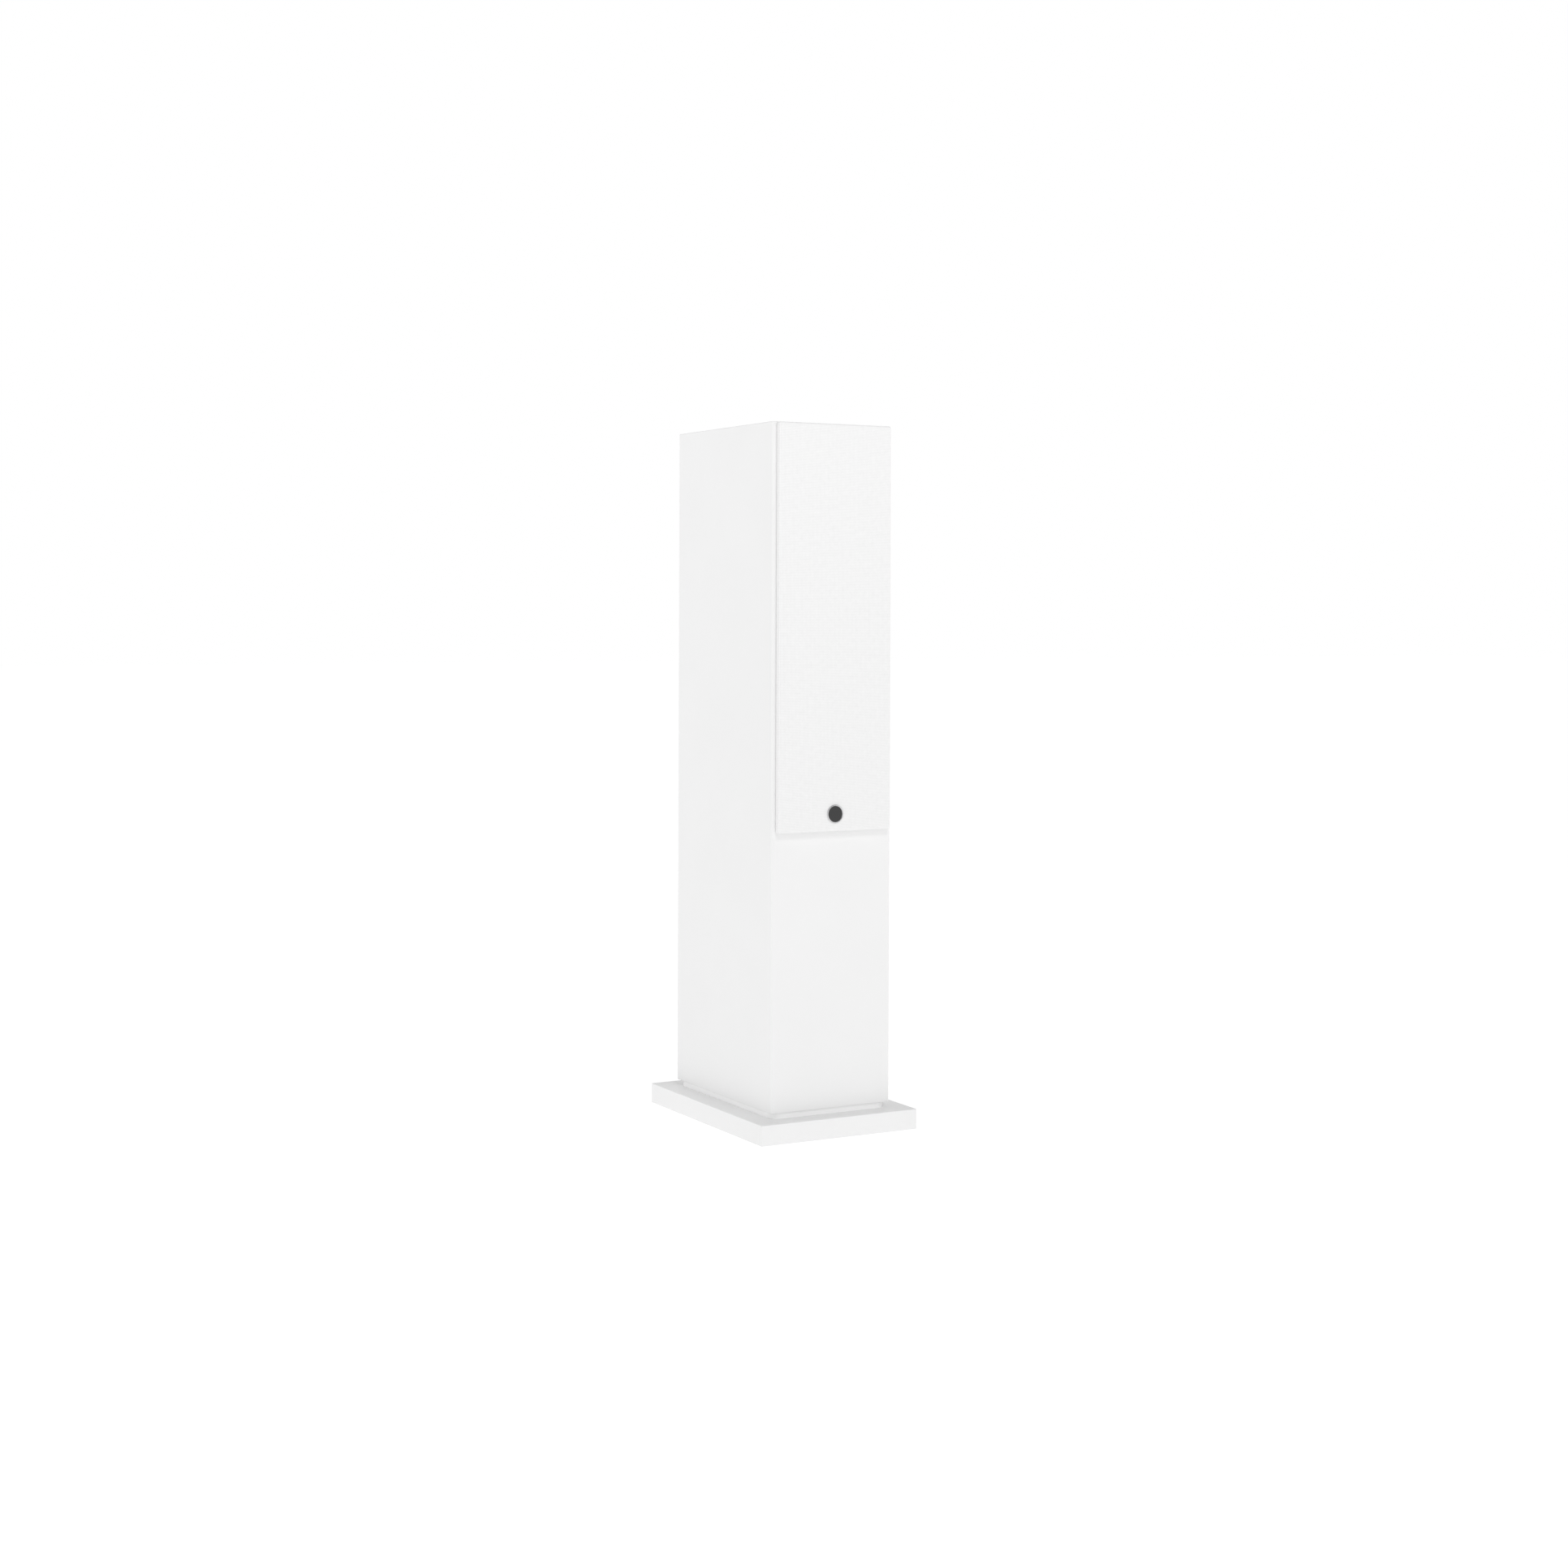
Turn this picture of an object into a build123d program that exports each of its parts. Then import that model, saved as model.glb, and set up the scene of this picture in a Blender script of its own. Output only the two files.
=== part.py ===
"""A floorstanding column loudspeaker: a lacquered cabinet on a wider plinth, with a cloth grille
over two woofers and a tweeter. Millimetres, +Z up, front towards -Y, origin on the floor under the
middle of the plinth. Depths called u run inwards from the front face of the baffle."""

from math import radians, sin, cos, sqrt
import os

from build123d import *

# ---------------------------------------------------------------- overall sizes
CABINET_WIDTH = 188.0
CABINET_DEPTH = 286.0
CABINET_HEIGHT = 942.0
PANEL = 18.0
BAFFLE = 22.0
CORNER_RADIUS = 3.0
EDGE_RADIUS = 1.5
BOTTOM_EDGE_RADIUS = 1.0

# ---------------------------------------------------------------- base
FOOT_HEIGHT = 2.0
FOOT_RADIUS = 11.0
PLINTH_THICKNESS = 28.0
PLINTH_SIDE_OVERHANG = 28.5
PLINTH_END_OVERHANG = 27.0
PLINTH_EDGE = 1.0
NECK_HEIGHT = 8.0
NECK_INSET = 3.0
NECK_CORNER_RADIUS = 15.0
CORNER_INSET_X = 18.5
SPIKE_INSET_Y = 18.0
FOOT_INSET_Y = 44.0
BOLT_INSET_X = 24.0
BOLT_INSET_Y = 34.0
BOLT_RADIUS = 3.0
BOLT_HEAD_RADIUS = 5.0
BOLT_HEAD_HEIGHT = 6.0
BOLT_SINK = 12.0
BOLT_SOCKET = 5.0
BOLT_GRIP = 11.0
BOLT_INSERT_RADIUS = 5.0
BOLT_INSERT_LENGTH = 13.0
SPIKE_BORE_RADIUS = 3.4
SPIKE_INSERT_RADIUS = 5.5
SPIKE_INSERT_LENGTH = 18.0

# ---------------------------------------------------------------- grille
GRILLE_HEIGHT = 559.5
GRILLE_SIDE_INSET = 5.5
GRILLE_TOP_INSET = 1.0
GRILLE_STANDOFF = 0.3
CLOTH = 0.75
CLOTH_HEM = 12.0
FRAME_THICKNESS = 7.5
FRAME_RAIL = 16.0
FRAME_BOTTOM_RAIL = 44.0
FRAME_BAR = 12.0
FRAME_OUTER_CORNER = 1.5
GRILLE_MAGNET_RADIUS = 5.0
GRILLE_MAGNET_DEPTH = 3.0
BAFFLE_MAGNET_DEPTH = 5.0
BAFFLE_SKIN = 2.5
BADGE_HEIGHT = 24.0
BADGE_RADIUS = 12.7
BADGE_RIM = 1.7
BADGE_RIM_DEPTH = 1.8
BADGE_DISC_DEPTH = 1.1

# ---------------------------------------------------------------- drive units
TWEETER_DROP = 78.0
DRIVER_GAP = 6.0
WOOFER_FLANGE_RADIUS = 83.0
WOOFER_FLANGE = 5.0
WOOFER_RIM_WIDTH = 7.0
WOOFER_LEDGE = 2.5
WOOFER_LEDGE_WIDTH = 4.0
WOOFER_WALL = 3.0
WOOFER_TUB_RADIUS = 49.0
WOOFER_TUB_TOP = 34.0
WOOFER_TUB_FLOOR = 48.0
WOOFER_SPOKES = 6
WOOFER_SPOKE_WIDTH = 13.0
WOOFER_SCREW_INSET = 3.5
WOOFER_CUTOUT_CLEARANCE = 1.0
WOOFER_SHOULDER = 5.0
WOOFER_WINDOW_MARGIN = 3.0
BAFFLE_RELIEF = 7.0
PLATE_RADIUS = 45.0
PLATE_THICKNESS = 6.0
FERRITE_RADIUS = 50.0
FERRITE_BORE = 26.0
FERRITE_THICKNESS = 16.0
POLE_RADIUS = 15.7
POLE_VENT_RADIUS = 5.0
GAP_RADIUS = 18.6
FORMER_RADIUS = 16.9
FORMER_WALL = 0.5
WINDING = 1.0
WINDING_LENGTH = 16.0
SURROUND_WIDTH = 9.0
CONE_RIM = 4.0
CONE_DEPTH = 25.5
CONE_PAPER = 1.0
CONE_BOW = 3.0
DUST_CAP_RADIUS = 23.0
DUST_CAP_RISE = 8.0
DUST_CAP_WALL = 0.8
SURROUND_RUBBER = 0.8
SPIDER_CLOTH = 0.8
SPIDER_WAVES = 4
SPIDER_WAVE_HEIGHT = 1.6
GLUE_GAP = 0.3
DRIVER_CLEARANCE = 0.3
SCREW_RADIUS = 2.0
SCREW_HEAD_RADIUS = 3.2
SCREW_HEAD = 2.4
SCREW_SOCKET = 2.5
SCREW_LENGTH = 15.0
SCREW_CLEARANCE = 0.1

TWEETER_RADIUS = 52.0
TWEETER_PLATE = 4.0
TWEETER_HORN_RADIUS = 30.0
TWEETER_THROAT = 16.0
TWEETER_BOSS_RADIUS = 36.0
TWEETER_BOSS_WALL = 8.0
TWEETER_THROAT_DEPTH = 3.2
TWEETER_SEAT = 5.2
TWEETER_SCREW_CIRCLE = 45.0
DOME_RADIUS = 12.7
DOME_RISE = 6.5
DOME_BASE = 4.6
DOME_WALL = 0.4
DOME_ROLL = 1.3
TWEETER_TOP_PLATE = 8.0
TWEETER_PLATE_THICKNESS = 4.0
TWEETER_MAGNET_RADIUS = 35.0
TWEETER_MAGNET_BORE = 18.0
TWEETER_MAGNET_THICKNESS = 12.0
TWEETER_GAP_RADIUS = 14.1
TWEETER_POLE_RADIUS = 11.6
TWEETER_WINDING = 0.7
TWEETER_WINDING_LENGTH = 4.0
TWEETER_STEEL_INSET = 2.0
TWEETER_CUP_RADIUS = 30.0
TWEETER_CUP_LENGTH = 18.0
TWEETER_CUP_WALL = 2.0
TWEETER_CUP_EDGE = 4.0

# ---------------------------------------------------------------- back and inside
PORT_DROP = 500.0
PORT_RADIUS = 25.0
PORT_WALL = 2.5
PORT_LENGTH = 150.0
PORT_FLARE = 12.0
PORT_FLANGE = 3.0
TERMINAL_HEIGHT = 100.0
TERMINAL_WIDTH = 92.0
TERMINAL_TALL = 62.0
TERMINAL_PLATE = 3.0
TERMINAL_CORNER = 4.0
TERMINAL_WINDOW_MARGIN = 13.0
TERMINAL_SCREW_INSET = 6.0
TERMINAL_SCREW_LENGTH = 12.0
POST_SPACING = 38.0
POST_RADIUS = 3.0
POST_REACH = 22.0
POST_INNER_REACH = 24.0
SOCKET_RADIUS = 2.05
SOCKET_DEPTH = 15.0
WIRE_HOLE_RADIUS = 1.2
BUSH_RADIUS = 8.0
BUSH_HEIGHT = 3.0
WASHER_RADIUS = 6.5
WASHER_THICKNESS = 1.5
NUT_RADIUS = 7.5
NUT_LENGTH = 14.0
NUT_GROOVES = 18
NUT_GROOVE_RADIUS = 0.7
RUNNING_CLEARANCE = 0.06
SEAT_GAP = 0.1
BACK_NUT_RADIUS = 5.5
BACK_NUT_THICKNESS = 5.0
BRACE = 15.0
BRACE_BORDER = 30.0
BRACE_CORNER = 18.0
BOARD_WIDTH = 112.0
BOARD_DEPTH = 120.0
BOARD = 1.6
PILLAR_RADIUS = 4.0
PILLAR_HEIGHT = 8.0
COIL_RADIUS = 21.0
COIL_BORE = 8.0
COIL_HEIGHT = 18.0
CAPACITOR_RADIUS = 9.0
CAPACITOR_LENGTH = 34.0
RESISTOR_SIDE = 10.0
RESISTOR_LENGTH = 46.0
PAD_THICKNESS = 12.0
PAD_MARGIN = 16.0
PAD_FRONT_SPACE = 46.0
PAD_BACK_SPACE = 24.0
CABLE_RADIUS = 2.0
CABLE_BEND = 14.0
CABLE_INSET = 12.0
CABLE_MARGIN = 4.0

# ---------------------------------------------------------------- places worked out from the sizes
PLINTH_Z = FOOT_HEIGHT
NECK_Z = PLINTH_Z + PLINTH_THICKNESS
FLOOR_Z = NECK_Z + NECK_HEIGHT
TOP_Z = FLOOR_Z + CABINET_HEIGHT
INNER_FLOOR_Z = FLOOR_Z + PANEL
HALF_WIDTH = CABINET_WIDTH / 2
INNER_HALF_WIDTH = HALF_WIDTH - PANEL
FRONT_Y = -CABINET_DEPTH / 2
BACK_Y = CABINET_DEPTH / 2
INNER_FRONT_Y = FRONT_Y + BAFFLE
INNER_BACK_Y = BACK_Y - PANEL
PLINTH_HALF_WIDTH = HALF_WIDTH + PLINTH_SIDE_OVERHANG
PLINTH_HALF_DEPTH = CABINET_DEPTH / 2 + PLINTH_END_OVERHANG

TWEETER_Z = TOP_Z - TWEETER_DROP
UPPER_WOOFER_Z = TWEETER_Z - TWEETER_RADIUS - DRIVER_GAP - WOOFER_FLANGE_RADIUS
LOWER_WOOFER_Z = UPPER_WOOFER_Z - DRIVER_GAP - 2 * WOOFER_FLANGE_RADIUS
WOOFERS = {"upper": UPPER_WOOFER_Z, "lower": LOWER_WOOFER_Z}
PORT_Z = TOP_Z - PORT_DROP
TERMINAL_Z = FLOOR_Z + TERMINAL_HEIGHT
UPPER_BRACE_Z = TWEETER_Z - TWEETER_RADIUS - DRIVER_GAP / 2
MIDDLE_BRACE_Z = (UPPER_WOOFER_Z + LOWER_WOOFER_Z) / 2
LOWER_BRACE_Z = (PORT_Z + INNER_FLOOR_Z) / 2
BRACES = {"upper": UPPER_BRACE_Z, "middle": MIDDLE_BRACE_Z, "lower": LOWER_BRACE_Z}

GRILLE_HALF_WIDTH = HALF_WIDTH - GRILLE_SIDE_INSET
GRILLE_TOP_Z = TOP_Z - GRILLE_TOP_INSET
GRILLE_BOTTOM_Z = GRILLE_TOP_Z - GRILLE_HEIGHT
GRILLE_BACK_Y = FRONT_Y - GRILLE_STANDOFF
FRAME_BACK_Y = GRILLE_BACK_Y - CLOTH
FRAME_FRONT_Y = FRAME_BACK_Y - FRAME_THICKNESS
GRILLE_FRONT_Y = FRAME_FRONT_Y - CLOTH
FRAME_HALF_WIDTH = GRILLE_HALF_WIDTH - CLOTH
FRAME_TOP_Z = GRILLE_TOP_Z - CLOTH
FRAME_BOTTOM_Z = GRILLE_BOTTOM_Z + CLOTH
BADGE_Z = GRILLE_BOTTOM_Z + BADGE_HEIGHT
MAGNET_X = FRAME_HALF_WIDTH - FRAME_RAIL / 2
MAGNET_ROWS = (FRAME_TOP_Z - FRAME_RAIL / 2, MIDDLE_BRACE_Z, FRAME_BOTTOM_Z + FRAME_BOTTOM_RAIL / 2)
MAGNETS = [(side * MAGNET_X, row) for side in (-1, 1) for row in MAGNET_ROWS]

WOOFER_LEDGE_RADIUS = WOOFER_FLANGE_RADIUS - WOOFER_RIM_WIDTH
WOOFER_WALL_RADIUS = WOOFER_LEDGE_RADIUS - WOOFER_LEDGE_WIDTH
WOOFER_SCREW_CIRCLE = WOOFER_FLANGE_RADIUS - WOOFER_SCREW_INSET
CONE_EDGE_RADIUS = WOOFER_WALL_RADIUS - SURROUND_WIDTH
MOTOR_TOP = WOOFER_TUB_FLOOR + WOOFER_WALL
MOTOR_MAGNET = MOTOR_TOP + PLATE_THICKNESS
MOTOR_BACK = MOTOR_MAGNET + FERRITE_THICKNESS
GAP_MIDDLE = MOTOR_TOP + PLATE_THICKNESS / 2
CONE_RIM_RADIUS = CONE_EDGE_RADIUS - CONE_RIM
CONE_NECK = WOOFER_LEDGE + CONE_DEPTH
TWEETER_MAGNET_U = TWEETER_TOP_PLATE + TWEETER_PLATE_THICKNESS
TWEETER_BACK_U = TWEETER_MAGNET_U + TWEETER_MAGNET_THICKNESS
TWEETER_CUP_U = TWEETER_BACK_U + TWEETER_PLATE_THICKNESS
TWEETER_CUTOUT = TWEETER_BOSS_RADIUS + WOOFER_CUTOUT_CLEARANCE

WOOFER_SCREW_START = 180.0 / WOOFER_SPOKES
TWEETER_SCREWS = 4
TWEETER_SCREW_START = 45.0
CORNER_SIGNS = [(sx, sy) for sx in (-1, 1) for sy in (-1, 1)]
SPIKE_PLACES = [
    (sx * (PLINTH_HALF_WIDTH - CORNER_INSET_X), sy * (PLINTH_HALF_DEPTH - SPIKE_INSET_Y))
    for sx, sy in CORNER_SIGNS
]
FOOT_PLACES = [
    (sx * (PLINTH_HALF_WIDTH - CORNER_INSET_X), sy * (PLINTH_HALF_DEPTH - FOOT_INSET_Y))
    for sx, sy in CORNER_SIGNS
]
BOLT_PLACES = [
    (sx * (HALF_WIDTH - BOLT_INSET_X), sy * (CABINET_DEPTH / 2 - BOLT_INSET_Y)) for sx, sy in CORNER_SIGNS
]
POST_SIDES = {"red": -1, "black": 1}


# ---------------------------------------------------------------- shape helpers
def block(x0, x1, y0, y1, z0, z1):
    """A box between two corners."""
    middle = Pos((x0 + x1) / 2, (y0 + y1) / 2, (z0 + z1) / 2)
    return middle * Box(x1 - x0, y1 - y0, z1 - z0)


def rod_y(radius, y0, y1, x=0.0, z=0.0):
    """A round bar along Y from y0 to y1."""
    return Pos(x, (y0 + y1) / 2, z) * Rot(90, 0, 0) * Cylinder(radius, abs(y1 - y0))


def rod_z(radius, z0, z1, x=0.0, y=0.0):
    """A round bar along Z from z0 to z1."""
    return Pos(x, y, (z0 + z1) / 2) * Cylinder(radius, abs(z1 - z0))


def hex_y(across_flats, y0, y1, x=0.0, z=0.0):
    """A hexagonal bar along Y."""
    outline = RegularPolygon(across_flats / 2, 6, major_radius=False)
    bar = extrude(outline, amount=abs(y1 - y0))
    return Pos(x, max(y0, y1), z) * Rot(90, 0, 0) * bar


def hex_z(across_flats, z0, z1, x=0.0, y=0.0):
    """A hexagonal bar along Z."""
    outline = RegularPolygon(across_flats / 2, 6, major_radius=False)
    return Pos(x, y, min(z0, z1)) * extrude(outline, amount=abs(z1 - z0))


def rounded_slot(half_x, y0, y1, z, height, corner):
    """An upright prism with rounded corners that cuts a window in a shelf."""
    outline = RectangleRounded(2 * half_x, y1 - y0, corner)
    return Pos(0, (y0 + y1) / 2, z - height / 2) * extrude(outline, amount=height)


def framed_slot(x0, x1, z0, z1, y0, y1, corner):
    """A prism along Y with rounded corners that cuts a window in an upright board."""
    outline = RectangleRounded(x1 - x0, z1 - z0, corner)
    bar = extrude(outline, amount=y1 - y0)
    return Pos((x0 + x1) / 2, y1, (z0 + z1) / 2) * Rot(90, 0, 0) * bar


def turned(*edges):
    """A solid of revolution about Y from a closed outline of edges in radius and depth."""
    return revolve(make_face(edges), axis=Axis.Y)


def turned_points(*points):
    """A solid of revolution about Y from a closed outline of straight runs."""
    return turned(Polyline(*points, close=True))


def at_driver(shape, z):
    """Puts a shape made about the origin, with depth along +Y, on the baffle at height z."""
    return Pos(0, FRONT_Y, z) * shape


def circle_places(count, radius, start=0.0):
    """Places on a circle, as (x, z), from an angle in degrees."""
    angles = [radians(start + 360.0 * k / count) for k in range(count)]
    return [(radius * sin(a), radius * cos(a)) for a in angles]


def cap_middle(radius, rise):
    """A point halfway along the section of a spherical cap, as (radius, rise), centred on the axis."""
    sphere = (radius**2 + rise**2) / (2 * rise)
    half = radius / 2
    return half, sqrt(sphere**2 - half**2) - (sphere - rise)


def domed_shell(radius, rise, wall, foot):
    """A thin spherical cap, open behind, with its rim at depth foot and its crown towards the front."""
    outer_x, outer_rise = cap_middle(radius, rise)
    inner_x, inner_rise = cap_middle(radius - wall, rise)
    front = foot - wall
    return turned(
        Line((0, foot - rise), (0, front - rise)),
        ThreePointArc((0, front - rise), (outer_x, front - outer_rise), (radius, front)),
        Line((radius, front), (radius, foot)),
        Line((radius, foot), (radius - wall, foot)),
        ThreePointArc((radius - wall, foot), (inner_x, foot - inner_rise), (0, foot - rise)),
    )


def group(*shapes):
    """Several separate solids in one node."""
    return Compound(children=[solid for shape in shapes for solid in shape.solids()])


# ---------------------------------------------------------------- cabinet
def envelope():
    """The outside of the lacquered box, with its softened edges, that every panel is trimmed to."""
    box = block(-HALF_WIDTH, HALF_WIDTH, FRONT_Y, BACK_Y, FLOOR_Z, TOP_Z)
    box = fillet(box.edges().filter_by(Axis.Z).sort_by(Axis.Y)[:2], CORNER_RADIUS)
    box = fillet(box.edges().filter_by(Axis.Z).sort_by(Axis.Y)[-2:], EDGE_RADIUS)
    box = fillet(box.edges().group_by(Axis.Z)[0], BOTTOM_EDGE_RADIUS)
    return fillet(box.edges().group_by(Axis.Z)[-1], EDGE_RADIUS)


OUTSIDE = envelope()


def mitred_panel(points, y0, y1):
    """A carcass panel whose ends are cut at 45 degrees, from its outline in X and Z."""
    face = make_face(Polyline(*points, close=True))
    board = Pos(0, y1, 0) * Rot(90, 0, 0) * extrude(face, amount=y1 - y0)
    return board & OUTSIDE


def carcass():
    """The four mitred panels that run round the cabinet behind the baffle."""
    w, t = HALF_WIDTH, PANEL
    outer = {
        "left": [(-w, FLOOR_Z), (-w, TOP_Z), (-w + t, TOP_Z - t), (-w + t, FLOOR_Z + t)],
        "right": [(w, FLOOR_Z), (w, TOP_Z), (w - t, TOP_Z - t), (w - t, FLOOR_Z + t)],
        "top": [(-w, TOP_Z), (w, TOP_Z), (w - t, TOP_Z - t), (-w + t, TOP_Z - t)],
        "bottom": [(-w, FLOOR_Z), (w, FLOOR_Z), (w - t, FLOOR_Z + t), (-w + t, FLOOR_Z + t)],
    }
    panels = {side: mitred_panel(points, INNER_FRONT_Y, BACK_Y) for side, points in outer.items()}
    for x, y in BOLT_PLACES:
        panels["bottom"] -= rod_z(BOLT_INSERT_RADIUS, FLOOR_Z, FLOOR_Z + BOLT_INSERT_LENGTH, x, y)
    return panels


def screw_hole(x, z):
    """The hole in the baffle for one drive-unit screw."""
    return rod_y(SCREW_RADIUS + SCREW_CLEARANCE, FRONT_Y, FRONT_Y + SCREW_HEAD + SCREW_LENGTH, x, z)


def front_baffle():
    """The front board, with a stepped cutout for each drive unit and blind magnet pockets."""
    board = block(-HALF_WIDTH, HALF_WIDTH, FRONT_Y, INNER_FRONT_Y, FLOOR_Z, TOP_Z) & OUTSIDE
    cutout = WOOFER_WALL_RADIUS + WOOFER_CUTOUT_CLEARANCE
    relief_start = BAFFLE - BAFFLE_RELIEF
    flare = turned_points(
        (0, relief_start), (cutout, relief_start), (cutout + BAFFLE_RELIEF, BAFFLE), (0, BAFFLE)
    )
    for z in WOOFERS.values():
        board -= rod_y(WOOFER_FLANGE_RADIUS + DRIVER_CLEARANCE, FRONT_Y, FRONT_Y + WOOFER_FLANGE, z=z)
        board -= rod_y(cutout, FRONT_Y, INNER_FRONT_Y, z=z)
        board -= at_driver(flare, z)
        for x, dz in circle_places(WOOFER_SPOKES, WOOFER_SCREW_CIRCLE, WOOFER_SCREW_START):
            board -= screw_hole(x, z + dz)
    board -= rod_y(TWEETER_RADIUS + DRIVER_CLEARANCE, FRONT_Y, FRONT_Y + TWEETER_PLATE, z=TWEETER_Z)
    board -= rod_y(TWEETER_CUTOUT, FRONT_Y, INNER_FRONT_Y, z=TWEETER_Z)
    for x, dz in circle_places(TWEETER_SCREWS, TWEETER_SCREW_CIRCLE, TWEETER_SCREW_START):
        board -= screw_hole(x, TWEETER_Z + dz)
    for x, z in MAGNETS:
        board -= rod_y(GRILLE_MAGNET_RADIUS + SCREW_CLEARANCE, FRONT_Y + BAFFLE_SKIN, INNER_FRONT_Y, x, z)
    return board


def back_panel():
    """The rear board, with the port's step and the terminal plate's step and window."""
    board = block(
        -INNER_HALF_WIDTH, INNER_HALF_WIDTH, INNER_BACK_Y, BACK_Y, INNER_FLOOR_Z, TOP_Z - PANEL
    )
    flange_radius = PORT_RADIUS + PORT_WALL + PORT_FLARE
    board -= rod_y(flange_radius + DRIVER_CLEARANCE, BACK_Y - PORT_FLARE, BACK_Y, z=PORT_Z)
    board -= rod_y(PORT_RADIUS + PORT_WALL + DRIVER_CLEARANCE, INNER_BACK_Y, BACK_Y, z=PORT_Z)
    half_w, half_h = TERMINAL_WIDTH / 2, TERMINAL_TALL / 2
    gap = DRIVER_CLEARANCE
    board -= framed_slot(
        -half_w - gap, half_w + gap, TERMINAL_Z - half_h - gap, TERMINAL_Z + half_h + gap,
        BACK_Y - TERMINAL_PLATE, BACK_Y, TERMINAL_CORNER + gap,
    )
    margin = TERMINAL_WINDOW_MARGIN
    board -= framed_slot(
        -half_w + margin, half_w - margin, TERMINAL_Z - half_h + margin, TERMINAL_Z + half_h - margin,
        INNER_BACK_Y, BACK_Y, TERMINAL_CORNER,
    )
    for x, z in terminal_screw_places():
        depth = TERMINAL_SCREW_LENGTH + TERMINAL_PLATE
        board -= rod_y(SCREW_RADIUS + SCREW_CLEARANCE, BACK_Y - depth, BACK_Y, x, z)
    return board


def window_brace(z):
    """A shelf across the inside of the cabinet with one large rounded window."""
    shelf = block(
        -INNER_HALF_WIDTH, INNER_HALF_WIDTH, INNER_FRONT_Y, INNER_BACK_Y, z - BRACE / 2, z + BRACE / 2
    )
    window = rounded_slot(
        INNER_HALF_WIDTH - BRACE_BORDER, INNER_FRONT_Y + BRACE_BORDER, INNER_BACK_Y - BRACE_BORDER,
        z, BRACE, BRACE_CORNER,
    )
    return shelf - window


def damping_pads():
    """Foam pads on both side walls, one in each bay between the shelves."""
    stops = [INNER_FLOOR_Z, *(z for z in sorted(BRACES.values())), TOP_Z - PANEL]
    pads = []
    for low, high in zip(stops, stops[1:]):
        z0 = low + PAD_MARGIN
        z1 = high - PAD_MARGIN
        for side in (-1, 1):
            wall = side * INNER_HALF_WIDTH
            face = wall - side * PAD_THICKNESS
            x0, x1 = sorted((wall, face))
            pads.append(block(x0, x1, FRONT_Y + PAD_FRONT_SPACE, INNER_BACK_Y - PAD_BACK_SPACE, z0, z1))
    return group(*pads)


# ---------------------------------------------------------------- base
def plinth():
    """The base board, with bolt holes sunk from below and pockets for the spike inserts."""
    board = block(
        -PLINTH_HALF_WIDTH, PLINTH_HALF_WIDTH, -PLINTH_HALF_DEPTH, PLINTH_HALF_DEPTH, PLINTH_Z, NECK_Z
    )
    board = fillet(board.edges().filter_by(Axis.Z), PLINTH_EDGE)
    board = fillet(board.edges().group_by(Axis.Z)[-1], PLINTH_EDGE)
    for x, y in BOLT_PLACES:
        board -= rod_z(BOLT_HEAD_RADIUS + 2.0, PLINTH_Z, PLINTH_Z + BOLT_SINK, x, y)
        board -= rod_z(BOLT_RADIUS + SCREW_CLEARANCE, PLINTH_Z, NECK_Z, x, y)
    for x, y in SPIKE_PLACES:
        board -= rod_z(SPIKE_INSERT_RADIUS, PLINTH_Z, PLINTH_Z + SPIKE_INSERT_LENGTH, x, y)
    return board


def neck_spacer():
    """The round-cornered board set back under the cabinet, which lifts it off the plinth."""
    half_x = HALF_WIDTH - NECK_INSET
    half_y = CABINET_DEPTH / 2 - NECK_INSET
    board = block(-half_x, half_x, -half_y, half_y, NECK_Z, FLOOR_Z)
    board = fillet(board.edges().filter_by(Axis.Z), NECK_CORNER_RADIUS)
    for x, y in BOLT_PLACES:
        board -= rod_z(BOLT_RADIUS + SCREW_CLEARANCE, NECK_Z, FLOOR_Z, x, y)
    return board


def plinth_bolts():
    """Four socket-head bolts that hold the plinth and neck to the cabinet."""
    head_top = PLINTH_Z + BOLT_SINK
    head_foot = head_top - BOLT_HEAD_HEIGHT
    bolts = []
    for x, y in BOLT_PLACES:
        bolt = rod_z(BOLT_HEAD_RADIUS, head_foot, head_top, x, y)
        bolt += rod_z(BOLT_RADIUS, head_top, FLOOR_Z + BOLT_GRIP, x, y)
        bolt -= hex_z(BOLT_SOCKET, head_foot, head_foot + BOLT_HEAD_HEIGHT / 2, x, y)
        bolts.append(bolt)
    return group(*bolts)


def threaded_inserts():
    """Brass inserts: four in the cabinet floor for the bolts, four in the plinth for spikes."""
    inserts = []
    for x, y in BOLT_PLACES:
        sleeve = rod_z(BOLT_INSERT_RADIUS, FLOOR_Z, FLOOR_Z + BOLT_INSERT_LENGTH, x, y)
        inserts.append(sleeve - rod_z(BOLT_RADIUS, FLOOR_Z, FLOOR_Z + BOLT_INSERT_LENGTH, x, y))
    for x, y in SPIKE_PLACES:
        sleeve = rod_z(SPIKE_INSERT_RADIUS, PLINTH_Z, PLINTH_Z + SPIKE_INSERT_LENGTH, x, y)
        inserts.append(sleeve - rod_z(SPIKE_BORE_RADIUS, PLINTH_Z, PLINTH_Z + SPIKE_INSERT_LENGTH, x, y))
    return group(*inserts)


def foot_pads():
    """Four low rubber pads under the plinth."""
    return group(*(rod_z(FOOT_RADIUS, 0, FOOT_HEIGHT, x, y) for x, y in FOOT_PLACES))


# ---------------------------------------------------------------- grille
def grille_blank(inset, y0, y1):
    """The grille's outline, drawn in on all sides by inset, between two depths."""
    half_x = GRILLE_HALF_WIDTH - inset
    return block(-half_x, half_x, y0, y1, GRILLE_BOTTOM_Z + inset, GRILLE_TOP_Z - inset)


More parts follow.
